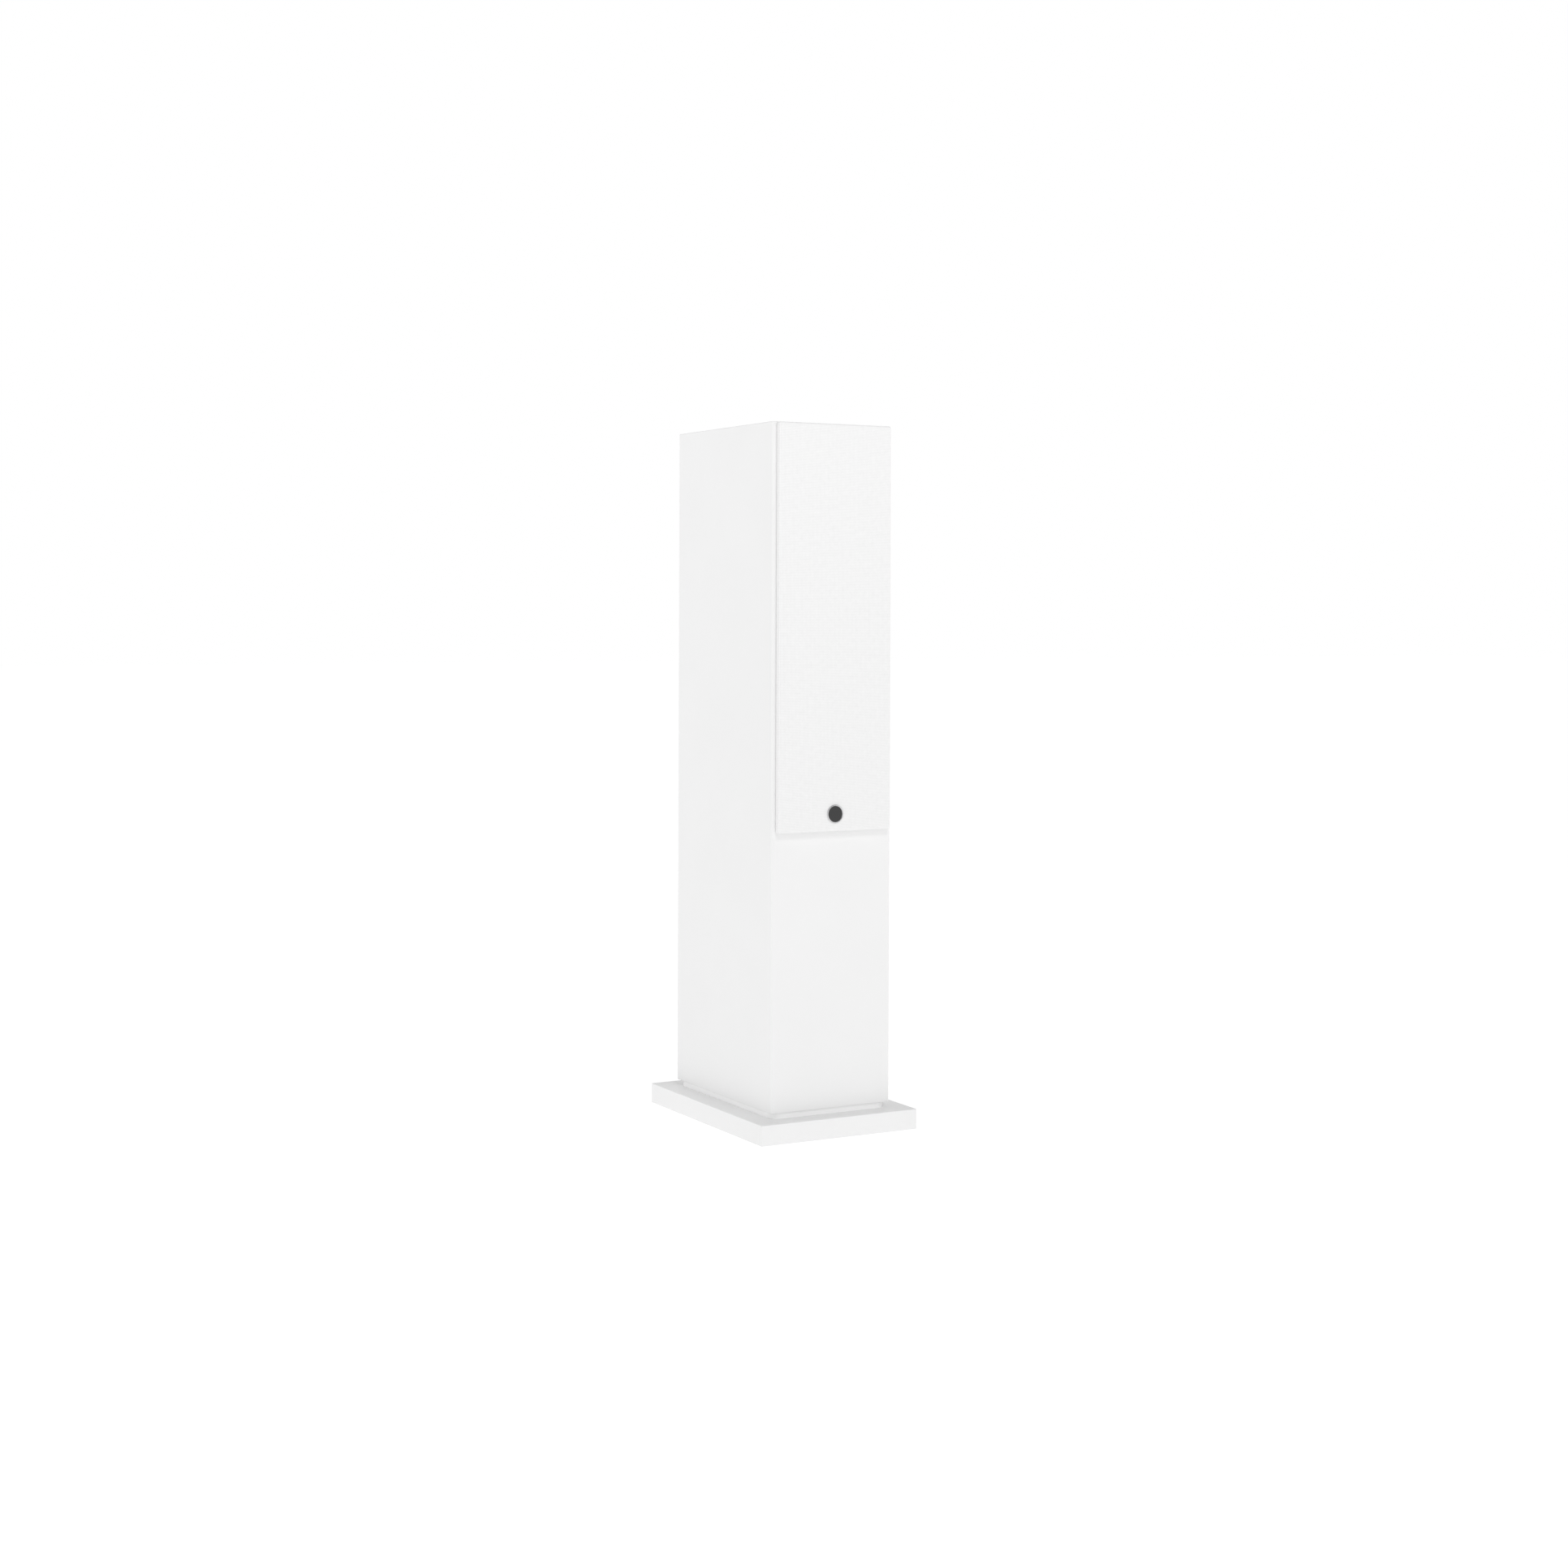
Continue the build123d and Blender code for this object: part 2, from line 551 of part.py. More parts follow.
def grille_frame():
    """Two side rails with four cross rails butted between them, and magnet pockets behind."""
    half_x = FRAME_HALF_WIDTH - FRAME_RAIL
    y0, y1 = FRAME_FRONT_Y, FRAME_BACK_Y
    levels = [
        (FRAME_BOTTOM_Z, FRAME_BOTTOM_Z + FRAME_BOTTOM_RAIL),
        (MIDDLE_BRACE_Z - FRAME_BAR / 2, MIDDLE_BRACE_Z + FRAME_BAR / 2),
        (UPPER_BRACE_Z - FRAME_BAR / 2, UPPER_BRACE_Z + FRAME_BAR / 2),
        (FRAME_TOP_Z - FRAME_RAIL, FRAME_TOP_Z),
    ]
    rails = [block(-half_x, half_x, y0, y1, low, high) for low, high in levels]
    for side in (-1, 1):
        x0, x1 = sorted((side * half_x, side * FRAME_HALF_WIDTH))
        rail = block(x0, x1, y0, y1, FRAME_BOTTOM_Z, FRAME_TOP_Z)
        outer_corners = rail.edges().filter_by(Axis.Y).sort_by(Axis.X)
        outer_corners = outer_corners[-2:] if side > 0 else outer_corners[:2]
        rail = fillet(outer_corners, FRAME_OUTER_CORNER)
        for x, z in MAGNETS:
            if x * side > 0:
                rail -= rod_y(GRILLE_MAGNET_RADIUS + SCREW_CLEARANCE, y1 - GRILLE_MAGNET_DEPTH, y1, x, z)
        rails.append(rail)
    return group(*rails)


def cloth_band(y0, y1):
    """The cloth that goes round the frame's edge: four straight runs and four corner turns."""
    outer = FRAME_OUTER_CORNER + CLOTH
    edge_x, low_edge, high_edge = GRILLE_HALF_WIDTH, GRILLE_BOTTOM_Z, GRILLE_TOP_Z
    turn_x, low, high = edge_x - outer, low_edge + outer, high_edge - outer
    runs = [
        block(-turn_x, turn_x, y0, y1, low_edge, low_edge + CLOTH),
        block(-turn_x, turn_x, y0, y1, high_edge - CLOTH, high_edge),
        block(-edge_x, -edge_x + CLOTH, y0, y1, low, high),
        block(edge_x - CLOTH, edge_x, y0, y1, low, high),
    ]
    for side in (-1, 1):
        for z, far_z in ((low, low_edge), (high, high_edge)):
            x, far_x = side * turn_x, side * edge_x
            ring = rod_y(outer, y0, y1, x, z) - rod_y(FRAME_OUTER_CORNER, y0, y1, x, z)
            runs.append(ring & block(min(x, far_x), max(x, far_x), y0, y1, min(z, far_z), max(z, far_z)))
    return runs


def grille_cloth():
    """Cloth over the front and sides of the frame, with a hem strip turned in behind each side."""
    sheet = grille_blank(0, GRILLE_FRONT_Y, FRAME_FRONT_Y)
    sheet = fillet(sheet.edges().filter_by(Axis.Y), FRAME_OUTER_CORNER + CLOTH)
    half_x, hem = FRAME_HALF_WIDTH - FRAME_OUTER_CORNER, CLOTH_HEM - CLOTH
    low, high = FRAME_BOTTOM_Z, FRAME_TOP_Z
    y0, y1 = FRAME_BACK_Y, GRILLE_BACK_Y
    hems = [
        block(-half_x, half_x, y0, y1, low, low + hem),
        block(-half_x, half_x, y0, y1, high - hem, high),
        block(-FRAME_HALF_WIDTH, -FRAME_HALF_WIDTH + hem, y0, y1, low + hem, high - hem),
        block(FRAME_HALF_WIDTH - hem, FRAME_HALF_WIDTH, y0, y1, low + hem, high - hem),
    ]
    return group(sheet, *cloth_band(FRAME_FRONT_Y, GRILLE_BACK_Y), *hems)


def grille_magnets():
    """Disc magnets let into the back of the grille frame."""
    y0 = FRAME_BACK_Y - GRILLE_MAGNET_DEPTH
    return group(*(rod_y(GRILLE_MAGNET_RADIUS, y0, FRAME_BACK_Y, x, z) for x, z in MAGNETS))


def baffle_magnets():
    """Matching magnets in the blind pockets behind the baffle's skin."""
    y0 = FRONT_Y + BAFFLE_SKIN
    return group(*(rod_y(GRILLE_MAGNET_RADIUS, y0, y0 + BAFFLE_MAGNET_DEPTH, x, z) for x, z in MAGNETS))


def badge_disc():
    """The bare dark enamel disc of the badge."""
    radius = BADGE_RADIUS - BADGE_RIM
    return rod_y(radius, GRILLE_FRONT_Y - BADGE_DISC_DEPTH, GRILLE_FRONT_Y, z=BADGE_Z)


def badge_rim():
    """The bright bevelled rim round the badge."""
    inner = BADGE_RADIUS - BADGE_RIM
    bevel = BADGE_RIM / 3
    rim = turned_points(
        (inner, 0), (BADGE_RADIUS, 0), (BADGE_RADIUS, -BADGE_RIM_DEPTH + bevel),
        (BADGE_RADIUS - bevel, -BADGE_RIM_DEPTH), (inner + bevel, -BADGE_RIM_DEPTH),
        (inner, -BADGE_RIM_DEPTH + bevel),
    )
    return Pos(0, GRILLE_FRONT_Y, BADGE_Z) * rim


# ---------------------------------------------------------------- woofer
def woofer_basket(z):
    """A cast frame: screw flange, sloping wall with six windows, and a tub that holds the motor."""
    t = WOOFER_WALL
    wall_in = WOOFER_WALL_RADIUS - t
    tub_in = WOOFER_TUB_RADIUS - t
    shoulder = WOOFER_TUB_TOP
    shoulder_in = WOOFER_TUB_RADIUS + WOOFER_SHOULDER
    floor_bore = GAP_RADIUS + t
    shape = turned_points(
        (WOOFER_LEDGE_RADIUS, 0), (WOOFER_FLANGE_RADIUS, 0), (WOOFER_FLANGE_RADIUS, WOOFER_FLANGE),
        (WOOFER_WALL_RADIUS, WOOFER_FLANGE), (shoulder_in + t, shoulder + t),
        (WOOFER_TUB_RADIUS, shoulder + t), (WOOFER_TUB_RADIUS, MOTOR_TOP), (floor_bore, MOTOR_TOP),
        (floor_bore, WOOFER_TUB_FLOOR), (tub_in, WOOFER_TUB_FLOOR), (tub_in, shoulder),
        (shoulder_in, shoulder), (wall_in, WOOFER_LEDGE), (WOOFER_LEDGE_RADIUS, WOOFER_LEDGE),
    )
    low = WOOFER_FLANGE + WOOFER_WINDOW_MARGIN
    high = shoulder - WOOFER_WINDOW_MARGIN
    band = rod_y(WOOFER_FLANGE_RADIUS, low, high) - rod_y(tub_in, low, high)
    for k in range(WOOFER_SPOKES):
        arm = block(-WOOFER_SPOKE_WIDTH / 2, WOOFER_SPOKE_WIDTH / 2, low, high, 0, WOOFER_FLANGE_RADIUS)
        band -= Rot(0, 360.0 * k / WOOFER_SPOKES, 0) * arm
    shape -= band
    for x, dz in circle_places(WOOFER_SPOKES, WOOFER_SCREW_CIRCLE, WOOFER_SCREW_START):
        shape -= rod_y(SCREW_RADIUS + SCREW_CLEARANCE, 0, WOOFER_FLANGE, x, dz)
        shape -= rod_y(SCREW_HEAD_RADIUS + SCREW_CLEARANCE, 0, SCREW_HEAD, x, dz)
    return at_driver(shape, z)


def woofer_surround(z):
    """A rubber half roll between the basket's ledge and the cone's rim."""
    t = SURROUND_RUBBER
    top = WOOFER_LEDGE - t
    lip_out = WOOFER_LEDGE_RADIUS - GLUE_GAP
    roll_out = WOOFER_WALL_RADIUS - GLUE_GAP
    roll_in = CONE_EDGE_RADIUS - SURROUND_RUBBER
    lip_in = CONE_RIM_RADIUS
    middle = (roll_out + roll_in) / 2
    rise = (roll_out - roll_in) / 2
    shape = turned(
        Line((lip_out, WOOFER_LEDGE), (lip_out, top)),
        Line((lip_out, top), (roll_out, top)),
        ThreePointArc((roll_out, top), (middle, top - rise), (roll_in, top)),
        Line((roll_in, top), (lip_in, top)),
        Line((lip_in, top), (lip_in, WOOFER_LEDGE)),
        Line((lip_in, WOOFER_LEDGE), (roll_in + t, WOOFER_LEDGE)),
        ThreePointArc((roll_in + t, WOOFER_LEDGE), (middle, top - rise + t), (roll_out - t, WOOFER_LEDGE)),
        Line((roll_out - t, WOOFER_LEDGE), (lip_out, WOOFER_LEDGE)),
    )
    return at_driver(shape, z)


def cone_face(radius):
    """Depth of the cone's front surface at a radius, on the straight line of its wall."""
    share = (CONE_RIM_RADIUS - radius) / (CONE_RIM_RADIUS - FORMER_RADIUS)
    return WOOFER_LEDGE + share * CONE_DEPTH


def woofer_cone(z):
    """A bowed cone with a flat rim under the surround and a collar on the voice coil."""
    t = CONE_PAPER
    rim, neck = CONE_RIM_RADIUS, FORMER_RADIUS
    half = (rim + neck) / 2
    shape = turned(
        Line((CONE_EDGE_RADIUS, WOOFER_LEDGE), (rim, WOOFER_LEDGE)),
        ThreePointArc((rim, WOOFER_LEDGE), (half, cone_face(half) - CONE_BOW), (neck, CONE_NECK)),
        Line((neck, CONE_NECK), (neck, CONE_NECK + 2 * t)),
        ThreePointArc(
            (neck, CONE_NECK + 2 * t), (half, cone_face(half) - CONE_BOW + 1.4 * t), (rim, WOOFER_LEDGE + t)
        ),
        Line((rim, WOOFER_LEDGE + t), (CONE_EDGE_RADIUS, WOOFER_LEDGE + t)),
        Line((CONE_EDGE_RADIUS, WOOFER_LEDGE + t), (CONE_EDGE_RADIUS, WOOFER_LEDGE)),
    )
    return at_driver(shape, z)


def woofer_dust_cap(z):
    """A shallow domed cap glued over the middle of the cone."""
    half = (CONE_RIM_RADIUS + FORMER_RADIUS) / 2
    off_middle = (half - DUST_CAP_RADIUS) / (half - FORMER_RADIUS)
    bow = CONE_BOW * (1 - off_middle**2)
    foot = cone_face(DUST_CAP_RADIUS) - bow - GLUE_GAP
    return at_driver(domed_shell(DUST_CAP_RADIUS, DUST_CAP_RISE, DUST_CAP_WALL, foot), z)


def woofer_voice_coil(z):
    """The former that carries the cone, with its winding centred in the magnet gap."""
    top = CONE_NECK - CONE_PAPER
    inner = FORMER_RADIUS - FORMER_WALL
    low, high = GAP_MIDDLE - WINDING_LENGTH / 2, GAP_MIDDLE + WINDING_LENGTH / 2
    shape = turned_points(
        (inner, top), (FORMER_RADIUS, top), (FORMER_RADIUS, low),
        (FORMER_RADIUS + WINDING, low), (FORMER_RADIUS + WINDING, high), (inner, high),
    )
    return at_driver(shape, z)


def woofer_spider(z):
    """A corrugated cloth disc that centres the voice coil, glued to the shoulder of the tub."""
    t = SPIDER_CLOTH
    base = WOOFER_TUB_TOP - t
    lip_out = WOOFER_TUB_RADIUS + WOOFER_SHOULDER - GLUE_GAP
    lip_in = WOOFER_TUB_RADIUS - WOOFER_WALL
    inner = FORMER_RADIUS + GLUE_GAP
    pitch = (lip_in - inner) / (2 * SPIDER_WAVES)
    front, back = [], []
    for k in range(2 * SPIDER_WAVES):
        start = lip_in - k * pitch
        swing = SPIDER_WAVE_HEIGHT if k % 2 else -SPIDER_WAVE_HEIGHT
        for line, level in ((front, base), (back, base + t)):
            line.append(
                ThreePointArc((start, level), (start - pitch / 2, level + swing), (start - pitch, level))
            )
    shape = turned(
        Line((lip_out, base + t), (lip_out, base)),
        Line((lip_out, base), (lip_in, base)),
        *front,
        Line((inner, base), (inner, base + t)),
        *back,
        Line((lip_in, base + t), (lip_out, base + t)),
    )
    return at_driver(shape, z)


def woofer_steel_plates():
    """For each woofer, the ring plate at the gap and the back plate with its vented pole."""
    pieces = []
    for z in WOOFERS.values():
        plate = rod_y(PLATE_RADIUS, MOTOR_TOP, MOTOR_MAGNET) - rod_y(GAP_RADIUS, MOTOR_TOP, MOTOR_MAGNET)
        yoke = rod_y(PLATE_RADIUS, MOTOR_BACK, MOTOR_BACK + PLATE_THICKNESS)
        yoke += rod_y(POLE_RADIUS, MOTOR_TOP, MOTOR_BACK)
        yoke -= rod_y(POLE_VENT_RADIUS, MOTOR_TOP, MOTOR_BACK + PLATE_THICKNESS)
        pieces += [at_driver(plate, z), at_driver(yoke, z)]
    return group(*pieces)


def woofer_magnets():
    """The ferrite ring of each woofer."""
    ring = rod_y(FERRITE_RADIUS, MOTOR_MAGNET, MOTOR_BACK) - rod_y(FERRITE_BORE, MOTOR_MAGNET, MOTOR_BACK)
    ring = chamfer(ring.edges().filter_by(GeomType.CIRCLE).sort_by(SortBy.RADIUS)[-2:], 1.5)
    return group(*(at_driver(ring, z) for z in WOOFERS.values()))


def socket_screw(x, z):
    """A button-head screw with its head at the baffle's face, pointing inwards."""
    screw = rod_y(SCREW_HEAD_RADIUS, FRONT_Y, FRONT_Y + SCREW_HEAD, x, z)
    screw = chamfer(screw.edges().group_by(Axis.Y)[0], 0.6)
    screw += rod_y(SCREW_RADIUS, FRONT_Y + SCREW_HEAD, FRONT_Y + SCREW_HEAD + SCREW_LENGTH, x, z)
    return screw - hex_y(SCREW_SOCKET, FRONT_Y, FRONT_Y + SCREW_HEAD * 0.7, x, z)


def woofer_screws():
    """Six screws for each woofer."""
    ring = circle_places(WOOFER_SPOKES, WOOFER_SCREW_CIRCLE, WOOFER_SCREW_START)
    return group(*(socket_screw(x, z + dz) for z in WOOFERS.values() for x, dz in ring))


# ---------------------------------------------------------------- tweeter
def tweeter_faceplate():
    """The face plate with a shallow horn, and a boss behind it that holds the motor."""
    boss_in = TWEETER_BOSS_RADIUS - TWEETER_BOSS_WALL
    shape = turned_points(
        (TWEETER_HORN_RADIUS, 0), (TWEETER_RADIUS, 0), (TWEETER_RADIUS, TWEETER_PLATE),
        (TWEETER_BOSS_RADIUS, TWEETER_PLATE), (TWEETER_BOSS_RADIUS, TWEETER_TOP_PLATE),
        (boss_in, TWEETER_TOP_PLATE), (boss_in, TWEETER_SEAT), (TWEETER_THROAT, TWEETER_SEAT),
        (TWEETER_THROAT, TWEETER_THROAT_DEPTH),
    )
    for x, dz in circle_places(TWEETER_SCREWS, TWEETER_SCREW_CIRCLE, TWEETER_SCREW_START):
        shape -= rod_y(SCREW_RADIUS + SCREW_CLEARANCE, 0, TWEETER_PLATE, x, dz)
        shape -= rod_y(SCREW_HEAD_RADIUS + SCREW_CLEARANCE, 0, SCREW_HEAD, x, dz)
    return at_driver(shape, TWEETER_Z)


def tweeter_dome():
    """A soft dome, open behind."""
    return at_driver(domed_shell(DOME_RADIUS, DOME_RISE, DOME_WALL, DOME_BASE), TWEETER_Z)


def tweeter_surround():
    """The small roll round the dome, with a flat lip clamped under the face plate."""
    t = DOME_WALL
    level = TWEETER_SEAT
    inner = DOME_RADIUS + SCREW_CLEARANCE
    outer = inner + 2 * DOME_ROLL
    middle = inner + DOME_ROLL
    lip = TWEETER_BOSS_RADIUS - TWEETER_BOSS_WALL - GLUE_GAP
    shape = turned(
        ThreePointArc((inner, level), (middle, level - DOME_ROLL), (outer, level)),
        Line((outer, level), (lip, level)),
        Line((lip, level), (lip, level + t)),
        Line((lip, level + t), (outer - t, level + t)),
        ThreePointArc((outer - t, level + t), (middle, level - DOME_ROLL + t), (inner + t, level + t)),
        Line((inner + t, level + t), (inner, level + t)),
        Line((inner, level + t), (inner, level)),
    )
    return at_driver(shape, TWEETER_Z)


def tweeter_voice_coil():
    """The dome's short coil in the gap."""
    inner = DOME_RADIUS - DOME_WALL
    gap_middle = TWEETER_TOP_PLATE + TWEETER_PLATE_THICKNESS / 2
    wound = gap_middle - TWEETER_WINDING_LENGTH / 2
    end = gap_middle + TWEETER_WINDING_LENGTH / 2
    outer = DOME_RADIUS + TWEETER_WINDING
    shape = turned_points(
        (inner, DOME_BASE), (DOME_RADIUS, DOME_BASE), (DOME_RADIUS, wound), (outer, wound),
        (outer, end), (inner, end),
    )
    return at_driver(shape, TWEETER_Z)


def tweeter_steel_plates():
    """The ring plate at the gap, and the back plate with its pole."""
    plate = rod_y(TWEETER_MAGNET_RADIUS - TWEETER_STEEL_INSET, TWEETER_TOP_PLATE, TWEETER_MAGNET_U)
    plate -= rod_y(TWEETER_GAP_RADIUS, TWEETER_TOP_PLATE, TWEETER_MAGNET_U)
    yoke = rod_y(TWEETER_MAGNET_RADIUS - TWEETER_STEEL_INSET, TWEETER_BACK_U, TWEETER_CUP_U)
    yoke += rod_y(TWEETER_POLE_RADIUS, TWEETER_TOP_PLATE, TWEETER_BACK_U)
    yoke -= rod_y(TWEETER_POLE_RADIUS / 2, TWEETER_TOP_PLATE, TWEETER_CUP_U)
    return group(at_driver(plate, TWEETER_Z), at_driver(yoke, TWEETER_Z))


def tweeter_magnet():
    """The tweeter's ferrite ring."""
    ring = rod_y(TWEETER_MAGNET_RADIUS, TWEETER_MAGNET_U, TWEETER_BACK_U)
    ring -= rod_y(TWEETER_MAGNET_BORE, TWEETER_MAGNET_U, TWEETER_BACK_U)
    return at_driver(ring, TWEETER_Z)


def tweeter_rear_cup():
    """The closed cup that holds the air behind the dome."""
    t = TWEETER_CUP_WALL
    shape = rod_y(TWEETER_CUP_RADIUS, TWEETER_CUP_U, TWEETER_CUP_U + TWEETER_CUP_LENGTH)
    shape = fillet(shape.edges().group_by(Axis.Y)[-1], TWEETER_CUP_EDGE)
    shape -= rod_y(TWEETER_CUP_RADIUS - t, TWEETER_CUP_U, TWEETER_CUP_U + TWEETER_CUP_LENGTH - t)
    return at_driver(shape, TWEETER_Z)


def tweeter_screws():
    """Four screws for the tweeter."""
    ring = circle_places(TWEETER_SCREWS, TWEETER_SCREW_CIRCLE, TWEETER_SCREW_START)
    return group(*(socket_screw(x, TWEETER_Z + dz) for x, dz in ring))


# ---------------------------------------------------------------- back
def port_tube():
    """The reflex port: a straight tube whose outer mouth flares into a flat flange."""
    r, t, f = PORT_RADIUS, PORT_WALL, PORT_FLARE
    curve = 0.2929 * f
    tube = turned(
        Line((r, -PORT_LENGTH), (r, -f)),
        ThreePointArc((r, -f), (r + curve, -curve), (r + f, 0)),
        Line((r + f, 0), (r + f + t, 0)),
        Line((r + f + t, 0), (r + f + t, -PORT_FLANGE)),
        Line((r + f + t, -PORT_FLANGE), (r + t + 1, -f)),
        Line((r + t + 1, -f), (r + t, -f)),
        Line((r + t, -f), (r + t, -PORT_LENGTH)),
        Line((r + t, -PORT_LENGTH), (r, -PORT_LENGTH)),
    )
    return Pos(0, BACK_Y, PORT_Z) * tube


def terminal_screw_places():
    """The four corners of the terminal plate, as (x, z)."""
    half_w = TERMINAL_WIDTH / 2 - TERMINAL_SCREW_INSET
    half_h = TERMINAL_TALL / 2 - TERMINAL_SCREW_INSET
    return [(sx * half_w, TERMINAL_Z + sz * half_h) for sx in (-1, 1) for sz in (-1, 1)]


def terminal_plate():
    """The metal plate that carries the binding posts."""
    half_w, half_h = TERMINAL_WIDTH / 2, TERMINAL_TALL / 2
    plate = framed_slot(
        -half_w, half_w, TERMINAL_Z - half_h, TERMINAL_Z + half_h, BACK_Y - TERMINAL_PLATE, BACK_Y,
        TERMINAL_CORNER,
    )
    for side in POST_SIDES.values():
        hole = POST_RADIUS + SCREW_CLEARANCE
        plate -= rod_y(hole, BACK_Y - TERMINAL_PLATE, BACK_Y, side * POST_SPACING / 2, TERMINAL_Z)
    for x, z in terminal_screw_places():
        plate -= rod_y(SCREW_RADIUS + SCREW_CLEARANCE, BACK_Y - TERMINAL_PLATE, BACK_Y, x, z)
    return plate


def terminal_screws():
    """Four low-head screws through the plate's corners."""
    screws = []
    for x, z in terminal_screw_places():
        head = rod_y(SCREW_HEAD_RADIUS, BACK_Y, BACK_Y + SCREW_HEAD, x, z)
        head = chamfer(head.edges().group_by(Axis.Y)[-1], 0.6)
        depth = TERMINAL_SCREW_LENGTH + TERMINAL_PLATE
        shank = rod_y(SCREW_RADIUS, BACK_Y - depth, BACK_Y, x, z)
        socket = hex_y(SCREW_SOCKET, BACK_Y + SCREW_HEAD * 0.3, BACK_Y + SCREW_HEAD, x, z)
        screws.append(head + shank - socket)
    return group(*screws)


def post_bushes():
    """The insulating collars between the posts and the plate."""
    bore = POST_RADIUS + SCREW_CLEARANCE
    bushes = []
    for side in POST_SIDES.values():
        x = side * POST_SPACING / 2
        collar = rod_y(BUSH_RADIUS, BACK_Y, BACK_Y + BUSH_HEIGHT, x, TERMINAL_Z)
        collar = chamfer(collar.edges().group_by(Axis.Y)[-1], 0.8)
        bushes.append(collar - rod_y(bore, BACK_Y, BACK_Y + BUSH_HEIGHT, x, TERMINAL_Z))
    return group(*bushes)


def post_spindles():
    """The plated spindles: an axial socket for a plug and a cross hole for bare wire."""
    spindles = []
    tip = BACK_Y + POST_REACH
    for side in POST_SIDES.values():
        x = side * POST_SPACING / 2
        spindle = rod_y(POST_RADIUS, BACK_Y - TERMINAL_PLATE - POST_INNER_REACH, tip, x, TERMINAL_Z)
        spindle -= rod_y(SOCKET_RADIUS, tip - SOCKET_DEPTH, tip, x, TERMINAL_Z)
        cross = rod_z(WIRE_HOLE_RADIUS, TERMINAL_Z - POST_RADIUS, TERMINAL_Z + POST_RADIUS)
        spindles.append(spindle - Pos(x, BACK_Y + BUSH_HEIGHT + WIRE_HOLE_RADIUS + 1, 0) * cross)
    return group(*spindles)


def post_back_nuts():
    """The hexagonal nuts and solder washers that hold the posts from inside."""
    nuts = []
    face = BACK_Y - TERMINAL_PLATE
    bore = POST_RADIUS + SCREW_CLEARANCE
    for side in POST_SIDES.values():
        x = side * POST_SPACING / 2
        nut = rod_y(BACK_NUT_RADIUS + 2, face - 1.2, face, x, TERMINAL_Z)
        nut += hex_y(2 * BACK_NUT_RADIUS, face - 1.2 - BACK_NUT_THICKNESS, face - 1.2, x, TERMINAL_Z)
        nuts.append(nut - rod_y(bore, face - 1.2 - BACK_NUT_THICKNESS, face, x, TERMINAL_Z))
    return group(*nuts)


def clamp_washer(side):
    """The loose washer that the nut presses on a spade or a wire."""
    x = side * POST_SPACING / 2
    foot = BACK_Y + BUSH_HEIGHT + SEAT_GAP
    ring = rod_y(WASHER_RADIUS, foot, foot + WASHER_THICKNESS, x, TERMINAL_Z)
    bore = POST_RADIUS + RUNNING_CLEARANCE
    return ring - rod_y(bore, foot, foot + WASHER_THICKNESS, x, TERMINAL_Z)


def binding_nut(side):
    """The grooved nut that turns on the spindle, left open so that a plug can enter from behind."""
    x = side * POST_SPACING / 2
    foot = BACK_Y + BUSH_HEIGHT + 2 * SEAT_GAP + WASHER_THICKNESS
    nut = rod_y(NUT_RADIUS, foot, foot + NUT_LENGTH, x, TERMINAL_Z)
    nut = chamfer(nut.edges().group_by(Axis.Y)[-1], 1.2)
    for gx, gz in circle_places(NUT_GROOVES, NUT_RADIUS + 0.2):
        nut -= rod_y(NUT_GROOVE_RADIUS, foot + 2.5, foot + NUT_LENGTH, x + gx, TERMINAL_Z + gz)
    return nut - rod_y(POST_RADIUS + RUNNING_CLEARANCE, foot, foot + NUT_LENGTH, x, TERMINAL_Z)


# ---------------------------------------------------------------- crossover and wiring
BOARD_Z = INNER_FLOOR_Z + PILLAR_HEIGHT
BOARD_TOP_Z = BOARD_Z + BOARD
BOARD_HALF_X = BOARD_WIDTH / 2
BOARD_HALF_Y = BOARD_DEPTH / 2


def pillar_places():
    """The four corners of the crossover board, as (x, y)."""
    inset = PILLAR_RADIUS + 1.5
    return [(sx * (BOARD_HALF_X - inset), sy * (BOARD_HALF_Y - inset)) for sx, sy in CORNER_SIGNS]


def crossover_board():
    """The circuit board that stands on the cabinet floor."""
    return block(-BOARD_HALF_X, BOARD_HALF_X, -BOARD_HALF_Y, BOARD_HALF_Y, BOARD_Z, BOARD_TOP_Z)


def crossover_pillars():
    """Four short pillars under the board."""
    return group(*(rod_z(PILLAR_RADIUS, INNER_FLOOR_Z, BOARD_Z, x, y) for x, y in pillar_places()))


def crossover_inductors():
    """Two wound coils, one flat on the board and one on its edge."""
    flat_y = -BOARD_HALF_Y + COIL_RADIUS + 8
    flat = rod_z(COIL_RADIUS, BOARD_TOP_Z, BOARD_TOP_Z + COIL_HEIGHT, -BOARD_HALF_X / 2 + 2, flat_y)
    flat -= rod_z(COIL_BORE, BOARD_TOP_Z, BOARD_TOP_Z + COIL_HEIGHT, -BOARD_HALF_X / 2 + 2, flat_y)
    edge_z = BOARD_TOP_Z + COIL_RADIUS
    edge_x = BOARD_HALF_X / 2
    edge = rod_y(COIL_RADIUS, flat_y, flat_y + COIL_HEIGHT, edge_x, edge_z)
    edge -= rod_y(COIL_BORE, flat_y, flat_y + COIL_HEIGHT, edge_x, edge_z)
    return group(flat, edge)


def crossover_capacitors():
    """Three film capacitors lying on the board."""
    z = BOARD_TOP_Z + CAPACITOR_RADIUS
    length = CAPACITOR_LENGTH
    places = [(-34, 8), (-12, 8), (34, 2)]
    return group(*(rod_y(CAPACITOR_RADIUS, y, y + length, x, z) for x, y in places))


